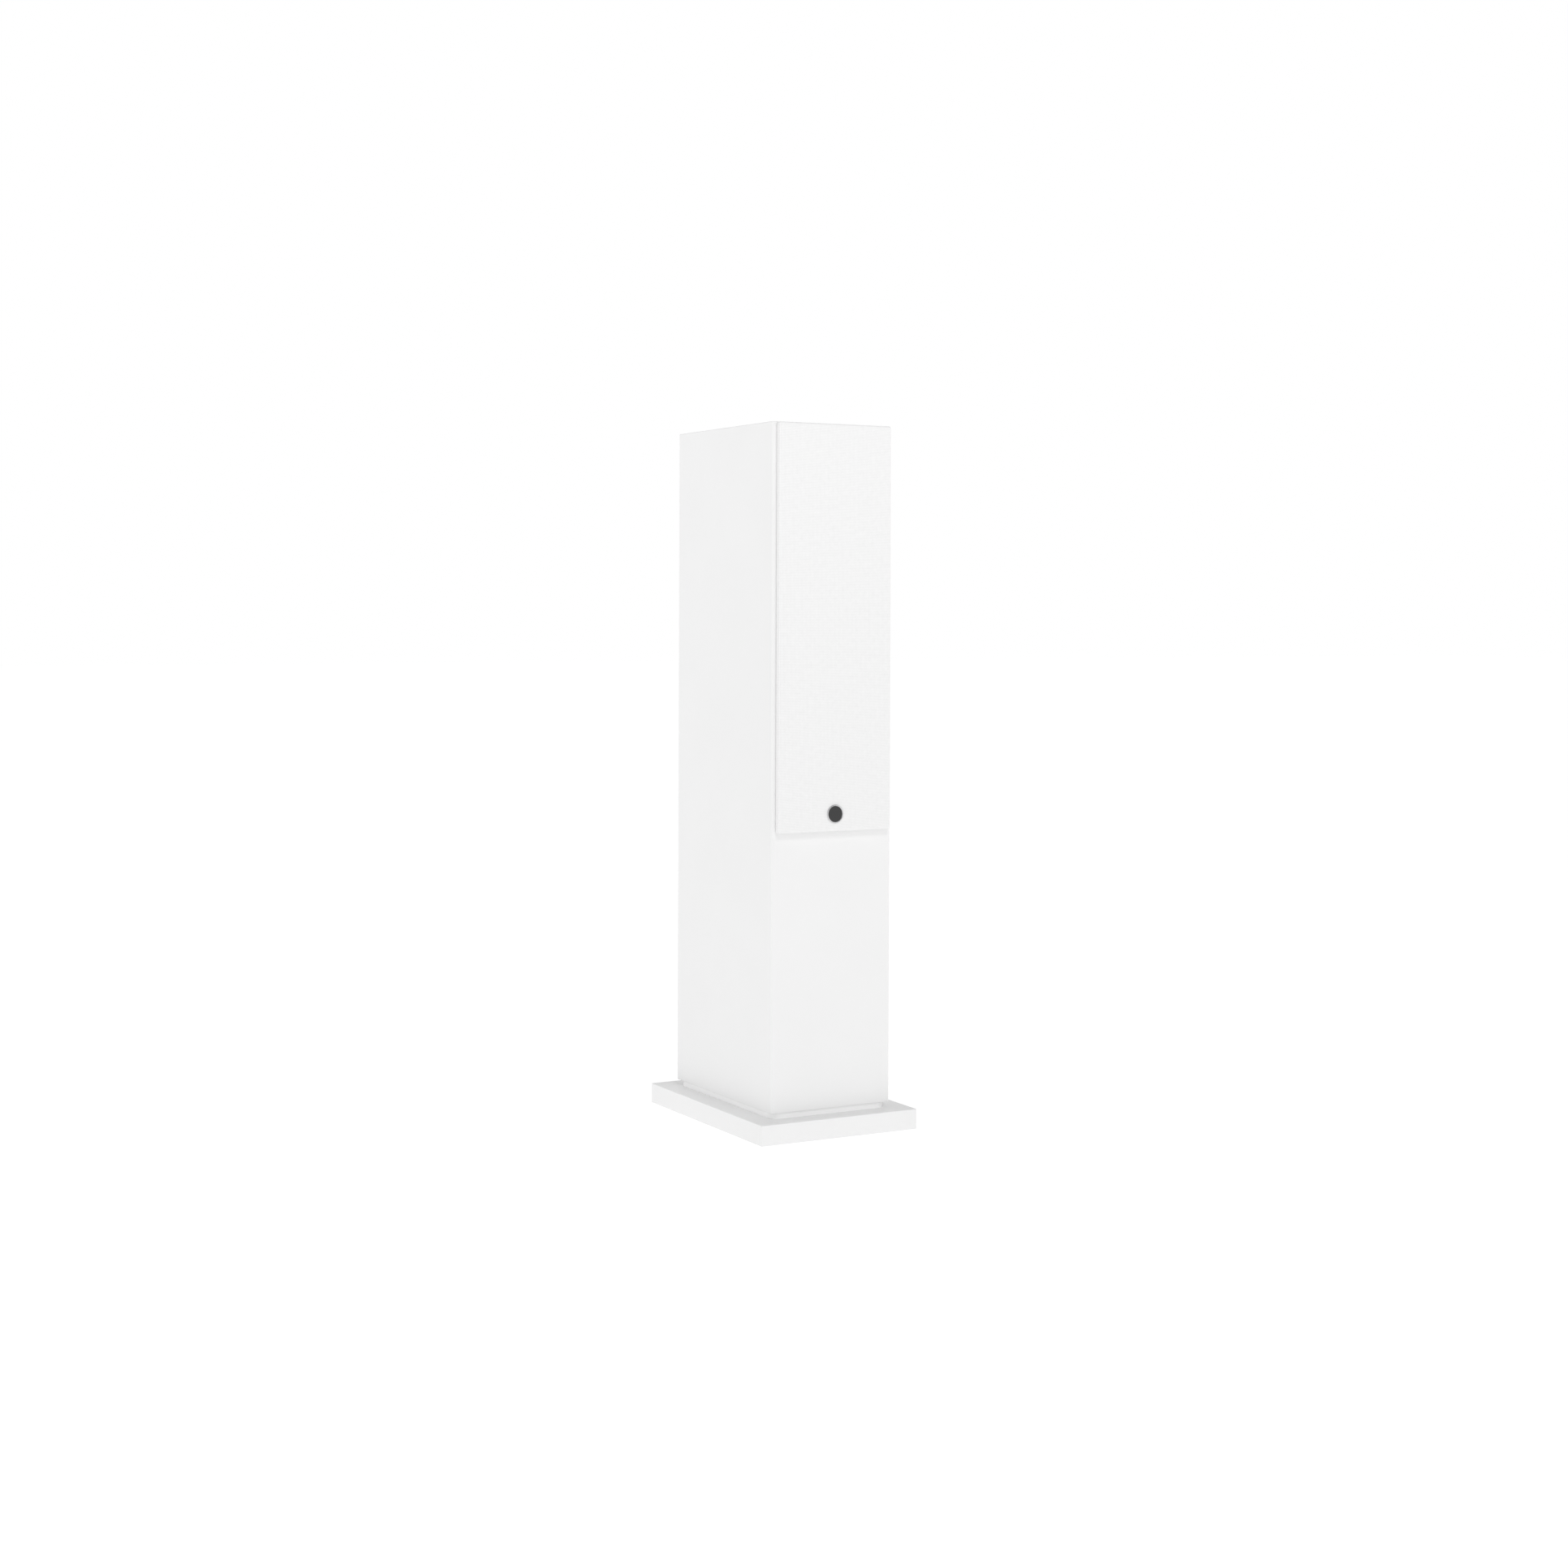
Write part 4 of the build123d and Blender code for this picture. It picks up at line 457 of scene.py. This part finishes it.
def cement_resistor_body():
    """Ceramic boats filled with cement: off-white and sandy."""
    finish, tree, surface, where = start_finish("cement_resistor_body", {"Roughness": 0.85, "IOR": 1.5})
    cloudy_tint(tree, surface, where, 2.0, "#cbc7ba", "#dedace")
    grain(tree, surface, where, 0.8, 0.06, 0.6)
    return finish


def extruded_pvc_cable():
    """Extruded PVC insulation: soft black with a dull extrusion sheen."""
    finish, tree, surface, where = start_finish("extruded_pvc_cable", {"Roughness": 0.45, "IOR": 1.53})
    cloudy_tint(tree, surface, where, 15.0, "#1a1a1b", "#242425")
    grain(tree, surface, where, 1.5, 0.02, 0.3)
    return finish


LACQUER = sprayed_satin_lacquer()
NECK_PAINTED_LIGHT = neck_white_painted_light()
CLOTH = knitted_grille_cloth()
ENAMEL = glossy_black_enamel()
NICKEL = polished_nickel_plate()
RAILS = moulded_white_frame()
MAGNET = nickel_plated_magnet()
CASTING = powder_coated_casting()
RUBBER = pressed_nitrile_rubber()
PULP = coated_paper_pulp()
CAP = lacquered_paper_cap()
COTTON = resin_dipped_cotton()
SILK = coated_silk()
BLACK_ABS = sparked_black_abs()
BLACK_SCREW = black_oxide_steel()
ZINC = zinc_plated_steel()
BRASS = turned_brass()
GOLD = gold_plated_brass()
ALUMINIUM = brushed_anodised_aluminium()
RED_CAP = tinted_polycarbonate("red_tinted_polycarbonate", "#7d0d0e", "#a31a19")
BLACK_CAP = tinted_polycarbonate("black_tinted_polycarbonate", "#0d0d0e", "#1a1a1b")
BUSHES = red_and_black_bushes()
FOOT = moulded_foot_rubber()
BOARD = raw_fibreboard()
FELT = needled_polyester_felt()
MOTOR_STEEL = plated_motor_steel()
FERRITE = sintered_ferrite()
COPPER = wound_copper()
CIRCUIT = solder_masked_board()
CAPACITOR = film_capacitor_sleeve()
CEMENT = cement_resistor_body()
CABLE = extruded_pvc_cable()

FINISHES = {
    LACQUER: ["left_panel", "right_panel", "top_panel", "bottom_panel", "front_baffle", "back_panel",
              "plinth"],
    NECK_PAINTED_LIGHT: ["neck_spacer"],
    BOARD: ["brace_upper", "brace_middle", "brace_lower"],
    FELT: ["damping_pads"],
    ZINC: ["plinth_bolts"],
    BRASS: ["threaded_inserts", "post_back_nuts"],
    FOOT: ["foot_pads"],
    RAILS: ["grille_frame"],
    CLOTH: ["grille_cloth"],
    MAGNET: ["grille_magnets", "baffle_magnets"],
    ENAMEL: ["badge_disc"],
    NICKEL: ["badge_rim"],
    CASTING: [f"{place}_woofer_basket" for place in WOOFERS],
    RUBBER: [f"{place}_woofer_surround" for place in WOOFERS],
    PULP: [f"{place}_woofer_cone" for place in WOOFERS],
    CAP: [f"{place}_woofer_dust_cap" for place in WOOFERS],
    COPPER: ["tweeter_voice_coil", "crossover_inductors",
             *(f"{place}_woofer_voice_coil" for place in WOOFERS)],
    COTTON: [f"{place}_woofer_spider" for place in WOOFERS],
    MOTOR_STEEL: ["woofer_steel_plates", "tweeter_steel_plates"],
    FERRITE: ["woofer_magnets", "tweeter_magnet"],
    BLACK_SCREW: ["woofer_screws", "tweeter_screws", "terminal_screws"],
    SILK: ["tweeter_dome", "tweeter_surround"],
    BLACK_ABS: ["tweeter_faceplate", "tweeter_rear_cup", "port_tube", "crossover_pillars"],
    ALUMINIUM: ["terminal_plate"],
    BUSHES: ["post_bushes"],
    GOLD: ["post_spindles", "red_clamp_washer", "black_clamp_washer"],
    RED_CAP: ["red_binding_nut"],
    BLACK_CAP: ["black_binding_nut"],
    CIRCUIT: ["crossover_board"],
    CAPACITOR: ["crossover_capacitors"],
    CEMENT: ["crossover_resistors"],
    CABLE: ["internal_wiring"],
}

for finish, members in FINISHES.items():
    for member in members:
        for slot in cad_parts[member].material_slots:
            slot.material = finish


# ---------------------------------------------------------------- modelling helpers
def deselect_everything():
    """Nothing stays selected, so the next operator touches only its own piece."""
    bpy.ops.object.select_all(action="DESELECT")
    bpy.context.view_layer.objects.active = None


def settle(name):
    """Names the primitive just added and puts its place, turn and size into its mesh."""
    piece = bpy.context.active_object
    piece.name = name
    piece.data.name = name
    bpy.ops.object.transform_apply(location=True, rotation=True, scale=True)
    return piece


def pick_edges(piece, wanted):
    """In edit mode, selects the edges whose two ends pass a test."""
    bpy.ops.mesh.select_mode(type="EDGE")
    bpy.ops.mesh.select_all(action="DESELECT")
    bpy.ops.object.mode_set(mode="OBJECT")
    for edge in piece.data.edges:
        edge.select = wanted(*(piece.data.vertices[k].co for k in edge.vertices))
    bpy.ops.object.mode_set(mode="EDIT")


def pick_faces(piece, wanted):
    """In edit mode, selects the faces whose middle and outward direction pass a test."""
    bpy.ops.mesh.select_mode(type="FACE")
    bpy.ops.mesh.select_all(action="DESELECT")
    bpy.ops.object.mode_set(mode="OBJECT")
    for face in piece.data.polygons:
        face.select = wanted(face.center, face.normal)
    bpy.ops.object.mode_set(mode="EDIT")


def apply_modifier(piece, kind, settings):
    """Adds a modifier and applies it at once."""
    extra = piece.modifiers.new(kind.lower(), kind)
    for name, value in settings.items():
        setattr(extra, name, value)
    bpy.ops.object.modifier_apply(modifier=extra.name)


def face_outwards():
    """In edit mode, merges doubles and turns every face outwards."""
    bpy.ops.mesh.select_all(action="SELECT")
    bpy.ops.mesh.remove_doubles(threshold=1e-6)
    bpy.ops.mesh.normals_make_consistent(inside=False)


def dress(piece, finish, slot, *replaced):
    """Gives a piece its finish and hides the nodes that it stands for; the slot argument is not used."""
    piece.data.materials.clear()
    piece.data.materials.append(finish)
    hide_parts(*replaced)


# ---------------------------------------------------------------- camera, light and floor
CAMERA_PLACE = (-1.6759, -3.0472, 0.7176)
CAMERA_HEADING = -0.50355
CAMERA_ROLL = 0.0033
LENS_MM = 55.894
LENS_RISE = -0.1083


def place_camera():
    """A level view from the front left, at three quarters of the cabinet's height."""
    lens = bpy.data.cameras.new("camera")
    lens.sensor_width = 36.0
    lens.lens = LENS_MM
    lens.shift_y = LENS_RISE
    camera = bpy.data.objects.new("camera", lens)
    bpy.context.scene.collection.objects.link(camera)
    turn = Matrix.Rotation(CAMERA_HEADING, 4, "Z") @ Matrix.Rotation(math.pi / 2, 4, "X")
    lean = Matrix.Rotation(CAMERA_ROLL, 4, "Z")
    camera.matrix_world = Matrix.Translation(CAMERA_PLACE) @ turn @ lean
    bpy.context.scene.camera = camera


def add_softbox(name, place, aim, width, height, power):
    """A rectangular studio softbox that points at a spot."""
    light = bpy.data.lights.new(name, "AREA")
    light.shape = "RECTANGLE"
    light.size = width
    light.size_y = height
    light.energy = power
    holder = bpy.data.objects.new(name, light)
    bpy.context.scene.collection.objects.link(holder)
    holder.location = place
    holder.rotation_euler = (Vector(aim) - Vector(place)).to_track_quat("-Z", "Y").to_euler()


def light_studio():
    """A white tent, bright all round and dimmer overhead, a high key in front and a soft one behind
    the left side, which leaves the grille's own left edge in the shade."""
    world = bpy.data.worlds.new("studio_tent")
    world.use_nodes = True
    tree = world.node_tree
    tent = tree.nodes["Background"]
    tent.inputs["Color"].default_value = (1.0, 1.0, 1.0, 1.0)
    # Full strength up to a height of 0.37, which is 22 degrees, and 0.42 of it from 37 degrees up.
    towards = add_node(tree, "ShaderNodeTexCoord")
    height = add_node(tree, "ShaderNodeSeparateXYZ", None, {"Vector": towards.outputs["Generated"]})
    add_node(tree, "ShaderNodeMapRange", None, {
        "Value": height.outputs["Z"], "From Min": 0.37, "From Max": 0.6, "To Min": 1.0, "To Max": 0.42},
        {"Result": tent.inputs["Strength"]})
    bpy.context.scene.world = world
    low_on_cabinet = (0, 0, 0.4)
    add_softbox("front_key", (-0.3, -2.5, 3.0), low_on_cabinet, 0.9, 0.9, 24.0)
    add_softbox("side_key", (-2.5, 1.4, 2.2), low_on_cabinet, 1.2, 1.2, 12.0)
    bpy.context.scene.view_settings.view_transform = "Standard"


def lay_floor():
    """A pale seamless studio floor, lit from within so that shadows on it stay faint."""
    deselect_everything()
    bpy.ops.mesh.primitive_plane_add(size=60.0, location=(0, 0, 0))
    floor = settle("studio_floor")
    finish, tree, surface, where = start_finish("pale_studio_floor", {
        "Roughness": 0.9, "Specular IOR Level": 0.0,
        "Emission Color": (1.0, 1.0, 1.0, 1.0), "Emission Strength": 0.8})
    cloudy_tint(tree, surface, where, 900.0, "#a2a2a2", "#a6a6a6")
    floor.data.materials.append(finish)


# ---------------------------------------------------------------- grille
CLOTH_THICKNESS = 0.7 * MM
CLOTH_HEM = 12 * MM
CLOTH_CORNER = 2.0 * MM
CLOTH_FRONT_ROLL = 1.1 * MM
CLOTH_BACK_ROLL = 0.45 * MM


def is_outline(spot, middle, wide, tall):
    """Whether a point is on the cloth's rounded outline as seen from the front."""
    off_x = wide / 2 - abs(spot.x - middle.x)
    off_z = tall / 2 - abs(spot.z - middle.z)
    if off_x < CLOTH_CORNER - NEAR and off_z < CLOTH_CORNER - NEAR:
        return math.hypot(CLOTH_CORNER - off_x, CLOTH_CORNER - off_z) > CLOTH_CORNER * 0.98
    return min(off_x, off_z) < NEAR


def make_grille_cloth():
    """The knit pulled tight over the frame: a fine grid taken back round the rails and turned in
    behind them, with its corners and its fold rounded."""
    low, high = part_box("grille_cloth")
    middle = (low + high) / 2
    wide, tall = high.x - low.x - CLOTH_THICKNESS, high.z - low.z - CLOTH_THICKNESS
    front, back = low.y + CLOTH_THICKNESS / 2, high.y - CLOTH_THICKNESS / 2
    deselect_everything()
    bpy.ops.mesh.primitive_grid_add(
        x_subdivisions=44, y_subdivisions=140, size=1.0, location=(middle.x, front, middle.z),
        rotation=(math.pi / 2, 0, 0))
    bpy.context.active_object.scale = (wide, tall, 1)
    piece = settle("stretched_grille_cloth")
    bpy.ops.object.mode_set(mode="EDIT")
    bpy.ops.mesh.select_mode(type="VERT")
    bpy.ops.mesh.select_all(action="DESELECT")
    bpy.ops.object.mode_set(mode="OBJECT")
    for vertex in piece.data.vertices:
        out = vertex.co - middle
        vertex.select = abs(out.x) > wide / 2 - MM / 10 and abs(out.z) > tall / 2 - MM / 10
    bpy.ops.object.mode_set(mode="EDIT")
    bpy.ops.mesh.bevel(offset=CLOTH_CORNER, segments=4, affect="VERTICES")
    bpy.ops.mesh.select_all(action="SELECT")
    bpy.ops.mesh.region_to_loop()
    bpy.ops.mesh.extrude_edges_move(TRANSFORM_OT_translate={"value": (0, back - front, 0)})
    bpy.ops.mesh.extrude_edges_move(TRANSFORM_OT_translate={"value": (0, 0, 0)})
    bpy.ops.transform.resize(
        value=(1 - 2 * CLOTH_HEM / wide, 1, 1 - 2 * CLOTH_HEM / tall),
        center_override=(middle.x, back, middle.z))

    def on_fold(depth):
        return lambda a, b: all(
            abs(end.y - depth) < NEAR
            and (abs(end.x - middle.x) > wide / 2 - 2 * CLOTH_CORNER
                 or abs(end.z - middle.z) > tall / 2 - 2 * CLOTH_CORNER)
            and is_outline(end, middle, wide, tall) for end in (a, b))

    for depth, roll in ((front, CLOTH_FRONT_ROLL), (back, CLOTH_BACK_ROLL)):
        pick_edges(piece, on_fold(depth))
        bpy.ops.mesh.bevel(offset=roll, segments=3, affect="EDGES", clamp_overlap=True)
    face_outwards()
    bpy.ops.object.mode_set(mode="OBJECT")
    lay_weave(piece, middle)
    apply_modifier(piece, "SOLIDIFY", {"thickness": CLOTH_THICKNESS, "offset": 0.0})
    bpy.ops.object.shade_smooth_by_angle(angle=math.radians(60))
    dress(piece, CLOTH, "grille_cloth", "grille_cloth")
    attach(piece, "grille")


def lay_weave(piece, middle):
    """The knit's own coordinates, in metres, square to each side of the cloth."""
    layer = piece.data.uv_layers.new(name="weave")
    corners = piece.data.vertices
    for face in piece.data.polygons:
        facing = max(range(3), key=lambda axis: abs(face.normal[axis]))
        across, up = ((1, 2), (0, 2), (0, 1))[facing]
        for k in face.loop_indices:
            spot = corners[piece.data.loops[k].vertex_index].co - middle
            layer.data[k].uv = (spot[across], spot[up])


# ---------------------------------------------------------------- grille frame
FRAME_RAIL = 16 * MM
FRAME_CORNER = 1.5 * MM
FRAME_EDGE = 0.5 * MM
WINDOW_CORNER = 5 * MM
MAGNET_RADIUS = 5 * MM
MAGNET_DEPTH = 3 * MM


def runs(values, gap):
    """The lowest and highest value of each run that has no gap wider than this in it."""
    found = []
    for value in sorted(values):
        if found and value - found[-1][1] <= gap:
            found[-1][1] = value
        else:
            found.append([value, value])
    return found


def cut_pocket(piece, place, radius, depth):
    """Sinks a round pocket along Y into the piece, in from a point on its face."""
    deselect_everything()
    bpy.ops.mesh.primitive_cylinder_add(
        vertices=32, radius=radius, depth=2 * depth, location=place, rotation=(math.pi / 2, 0, 0))
    cutter = settle("cutter")
    deselect_everything()
    piece.select_set(True)
    bpy.context.view_layer.objects.active = piece
    apply_modifier(piece, "BOOLEAN", {"operation": "DIFFERENCE", "object": cutter, "solver": "MANIFOLD"})
    bpy.data.objects.remove(cutter)


def make_grille_frame():
    """The moulded frame behind the cloth: a slab divided at its three windows and bridged through
    there, with rounded window corners, softened edges and pockets for the magnets."""
    low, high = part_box("grille_frame")
    inner = high.x - FRAME_RAIL
    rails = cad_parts["grille_frame"].data.vertices
    levels = runs([spot.co.z for spot in rails if abs(abs(spot.co.x) - inner) < MM / 10], MM)
    windows = [(levels[k][1], levels[k + 1][0]) for k in (1, 3, 5)]
    deselect_everything()
    bpy.ops.mesh.primitive_cube_add(size=1.0, location=(low + high) / 2)
    bpy.context.active_object.scale = high - low
    piece = settle("moulded_grille_frame")
    bpy.ops.object.mode_set(mode="EDIT")
    cuts = [((0, 0, z), (0, 0, 1)) for window in windows for z in window]
    cuts += [((x, 0, 0), (1, 0, 0)) for x in (-inner, inner)]
    for place, across in cuts:
        bpy.ops.mesh.select_all(action="SELECT")
        bpy.ops.mesh.bisect(plane_co=place, plane_no=across)
    for bottom, top in windows:
        pick_faces(piece, lambda centre, facing: abs(facing.y) > 0.9
                   and abs(centre.x) < inner and bottom < centre.z < top)
        bpy.ops.mesh.bridge_edge_loops()
    pick_edges(piece, lambda a, b: abs(a.y - b.y) > MM and abs(abs(a.x) - inner) < MM / 10
               and low.z + MM < a.z < high.z - MM)
    bpy.ops.mesh.bevel(offset=WINDOW_CORNER, segments=5, affect="EDGES")
    pick_edges(piece, lambda a, b: abs(a.y - b.y) > MM and high.x - abs(a.x) < MM / 10
               and min(a.z - low.z, high.z - a.z) < MM / 10)
    bpy.ops.mesh.bevel(offset=FRAME_CORNER, segments=3, affect="EDGES")
    face_outwards()
    bpy.ops.object.mode_set(mode="OBJECT")
    apply_modifier(piece, "BEVEL", {
        "width": FRAME_EDGE, "segments": 2, "limit_method": "ANGLE", "angle_limit": math.radians(60)})
    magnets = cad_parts["grille_magnets"].data.vertices
    rows = runs([spot.co.z for spot in magnets], MAGNET_RADIUS)
    middle_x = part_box("grille_magnets")[1].x - MAGNET_RADIUS
    for side in (-1, 1):
        for bottom, top in rows:
            cut_pocket(piece, (side * middle_x, high.y, (bottom + top) / 2),
                       MAGNET_RADIUS + MM / 10, MAGNET_DEPTH + MM / 20)
    bpy.ops.object.shade_smooth_by_angle(angle=math.radians(35))
    dress(piece, RAILS, "white_frame", "grille_frame")
    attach(piece, "grille")


# ---------------------------------------------------------------- suspensions of the drivers
# Radii from a driver's axis, depths back from the baffle's front and walls, all in millimetres.
RUBBER_WALL = 0.75
LIP_DEPTH = 2.1
ROLL_OUTER, ROLL_INNER, ROLL_HEIGHT = 71.7, 62.2, 4.7
COTTON_WALL = 0.6
SPIDER_DEPTH = 33.6
SPIDER_FOLDS, FOLD_HEIGHT = 8, 1.6
FOLDS_OUTER, FOLDS_INNER = 46.0, 17.3
SILK_WALL = 0.35
SILK_DEPTH = 5.4
SILK_OUTER, SILK_INNER, SILK_HEIGHT = 15.4, 12.85, 1.25
ORDER_FROM = Vector((0.0531, -0.0273, 0.0917))


def turn_shell(name, axis, outline, wall, sides):
    """A thin round shell about a line along Y: a ring drawn in from one radius and depth of an
    outline to the next, then given its wall. Drawing in leaves edges and faces in a different order
    each run, so all are first put in order of their distance from a point off the line."""
    deselect_everything()
    radius, depth = outline[0]
    bpy.ops.mesh.primitive_circle_add(
        vertices=sides, radius=radius * MM, location=(axis.x, axis.y + depth * MM, axis.z),
        rotation=(math.pi / 2, 0, 0))
    piece = settle(name)
    bpy.ops.object.mode_set(mode="EDIT")
    bpy.ops.mesh.select_mode(type="EDGE")
    bpy.ops.mesh.select_all(action="SELECT")
    for next_radius, next_depth in outline[1:]:
        step = (next_depth - depth) * MM
        bpy.ops.mesh.extrude_edges_move(TRANSFORM_OT_translate={"value": (0, step, 0)})
        share = next_radius / radius
        bpy.ops.transform.resize(
            value=(share, 1, share), center_override=(axis.x, axis.y + next_depth * MM, axis.z))
        radius, depth = next_radius, next_depth
    bpy.context.scene.cursor.location = axis + ORDER_FROM
    bpy.ops.mesh.select_all(action="SELECT")
    bpy.ops.mesh.sort_elements(type="CURSOR_DISTANCE", elements={"VERT", "EDGE", "FACE"})
    face_outwards()
    bpy.ops.object.mode_set(mode="OBJECT")
    apply_modifier(piece, "SOLIDIFY", {"thickness": wall * MM, "offset": 0.0})
    bpy.ops.object.shade_smooth_by_angle(angle=math.radians(60))
    return piece


def half_wave(outer, inner, level, swing, steps):
    """The points of one arched fold from an outer radius to an inner one."""
    middle, half = (outer + inner) / 2, (outer - inner) / 2
    turns = [math.pi * k / steps for k in range(steps + 1)]
    return [(middle + half * math.cos(turn), level + swing * math.sin(turn)) for turn in turns]


def flex_between(piece, moving, axis, held_radius, free_radius):
    """The piece's outside stays on the cabinet and its inside goes with a moving body; the roll
    between them follows by its share of the way in."""
    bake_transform(piece, "cabinet", moving, start=axis, end=axis + Vector((0, -MM, 0)))
    for vertex, share in zip(piece.data.vertices, piece.data.attributes["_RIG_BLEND"].data):
        radius = math.hypot(vertex.co.x - axis.x, vertex.co.z - axis.z) / MM
        way = min(1.0, max(0.0, (held_radius - radius) / (held_radius - free_radius)))
        share.value = way * way * (3 - 2 * way)


def driver_axis(node):
    """Where a driver's axis meets the front of the baffle."""
    low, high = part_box(node)
    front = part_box("front_baffle")[0].y
    return Vector(((low.x + high.x) / 2, front, (low.z + high.z) / 2))


def make_woofer_suspension(place):
    """One woofer's rubber surround, a half roll between two flat lips with a bead round the outer
    one, and its spider, a disc of arched folds behind the cone."""
    axis = driver_axis(f"{place}_woofer_surround")
    lip = LIP_DEPTH
    bead = [(75.6, lip), (75.3, lip - 0.35), (74.5, lip - 0.5), (73.7, lip - 0.35), (73.2, lip)]
    arch = half_wave(ROLL_OUTER, ROLL_INNER, lip, -ROLL_HEIGHT, 16)
    inner_lip = [(60.6, lip), (59.1, lip)]
    roll = turn_shell(f"{place}_rubber_surround", axis, bead + arch + inner_lip, RUBBER_WALL, 160)
    dress(roll, RUBBER, "surround", f"{place}_woofer_surround")
    flex_between(roll, f"{place}_cone", axis, ROLL_OUTER, ROLL_INNER)

    pitch = (FOLDS_OUTER - FOLDS_INNER) / SPIDER_FOLDS
    outline = [(53.6, SPIDER_DEPTH), (50.0, SPIDER_DEPTH)]
    for k in range(SPIDER_FOLDS):
        outer = FOLDS_OUTER - k * pitch
        swing = FOLD_HEIGHT if k % 2 else -FOLD_HEIGHT
        outline += half_wave(outer, outer - pitch, SPIDER_DEPTH, swing, 6)[k > 0:]
    disc = turn_shell(f"{place}_cotton_spider", axis, outline, COTTON_WALL, 96)
    dress(disc, COTTON, "spider", f"{place}_woofer_spider")
    flex_between(disc, f"{place}_cone", axis, FOLDS_OUTER, FOLDS_INNER)


def make_tweeter_suspension():
    """The silk roll round the dome and the flat edge that the face plate clamps."""
    axis = driver_axis("tweeter_surround")
    clamped_edge = [(27.6, SILK_DEPTH), (21.0, SILK_DEPTH)]
    arch = half_wave(SILK_OUTER, SILK_INNER, SILK_DEPTH, -SILK_HEIGHT, 8)
    roll = turn_shell("silk_dome_surround", axis, clamped_edge + arch, SILK_WALL, 96)
    dress(roll, SILK, "dome", "tweeter_surround")
    flex_between(roll, "dome", axis, SILK_OUTER, SILK_INNER)


# ---------------------------------------------------------------- damping pads
PAD_EDGE = 4.5 * MM
PAD_DRAW_IN = 3 * MM
PAD_LUMP = 35 * MM
PAD_LUMP_DEPTH = 2.2 * MM
PAD_LONG_EDGE = 30 * MM


def make_damping_pads():
    """Felt pads on the inside of both side walls: blocks with rounded edges, a little smaller on the
    room side and a little uneven, flat only against the wall."""
    spots = [vertex.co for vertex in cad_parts["damping_pads"].data.vertices]
    low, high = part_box("damping_pads")
    levels = [run[0] for run in runs([spot.z for spot in spots], MM)]
    faces = [run[0] for run in runs([spot.x for spot in spots], MM)]
    for side, (left, right) in (("left", faces[:2]), ("right", faces[2:])):
        for number, (bottom, top) in enumerate(zip(levels[::2], levels[1::2]), 1):
            make_damping_pad(f"{side}_felt_pad_{number}", Vector((left, low.y, bottom)),
                             Vector((right, high.y, top)), -1 if side == "left" else 1)


def make_damping_pad(name, low, high, wall_side):
    """One pad between two corners, on the wall that lies to that side of it."""
    middle, size = (low + high) / 2, high - low
    wall = middle.x + wall_side * size.x / 2
    deselect_everything()
    bpy.ops.mesh.primitive_cube_add(size=1.0, location=middle)
    bpy.context.active_object.scale = size
    piece = settle(name)
    bpy.ops.object.mode_set(mode="EDIT")
    pick_edges(piece, lambda a, b: any(abs(end.x - wall) > MM for end in (a, b)))
    bpy.ops.mesh.bevel(offset=PAD_EDGE, segments=3, affect="EDGES")
    pick_edges(piece, lambda a, b: (a - b).length > PAD_LONG_EDGE)
    bpy.ops.mesh.subdivide(number_cuts=15)
    pick_edges(piece, lambda a, b: all(abs(end.x - wall) > MM / 10 for end in (a, b)))
    bpy.ops.transform.resize(
        value=(1, 1 - PAD_DRAW_IN / size.y, 1 - PAD_DRAW_IN / size.z), center_override=middle)
    face_outwards()
    bpy.ops.object.mode_set(mode="OBJECT")
    room = piece.vertex_groups.new(name="room_side")
    room.add([v.index for v in piece.data.vertices if abs(v.co.x - wall) > 3 * MM], 1.0, "REPLACE")
    lumps = bpy.data.textures.new(name + "_lumps", "CLOUDS")
    lumps.noise_scale = PAD_LUMP
    apply_modifier(piece, "DISPLACE", {
        "texture": lumps, "strength": -PAD_LUMP_DEPTH, "mid_level": 0.0, "vertex_group": "room_side"})
    bpy.ops.object.shade_smooth()
    dress(piece, FELT, "foam", "damping_pads")
    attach(piece, "cabinet")


place_camera()
light_studio()
lay_floor()
make_grille_frame()
make_grille_cloth()
for place in WOOFERS:
    make_woofer_suspension(place)
make_tweeter_suspension()
make_damping_pads()
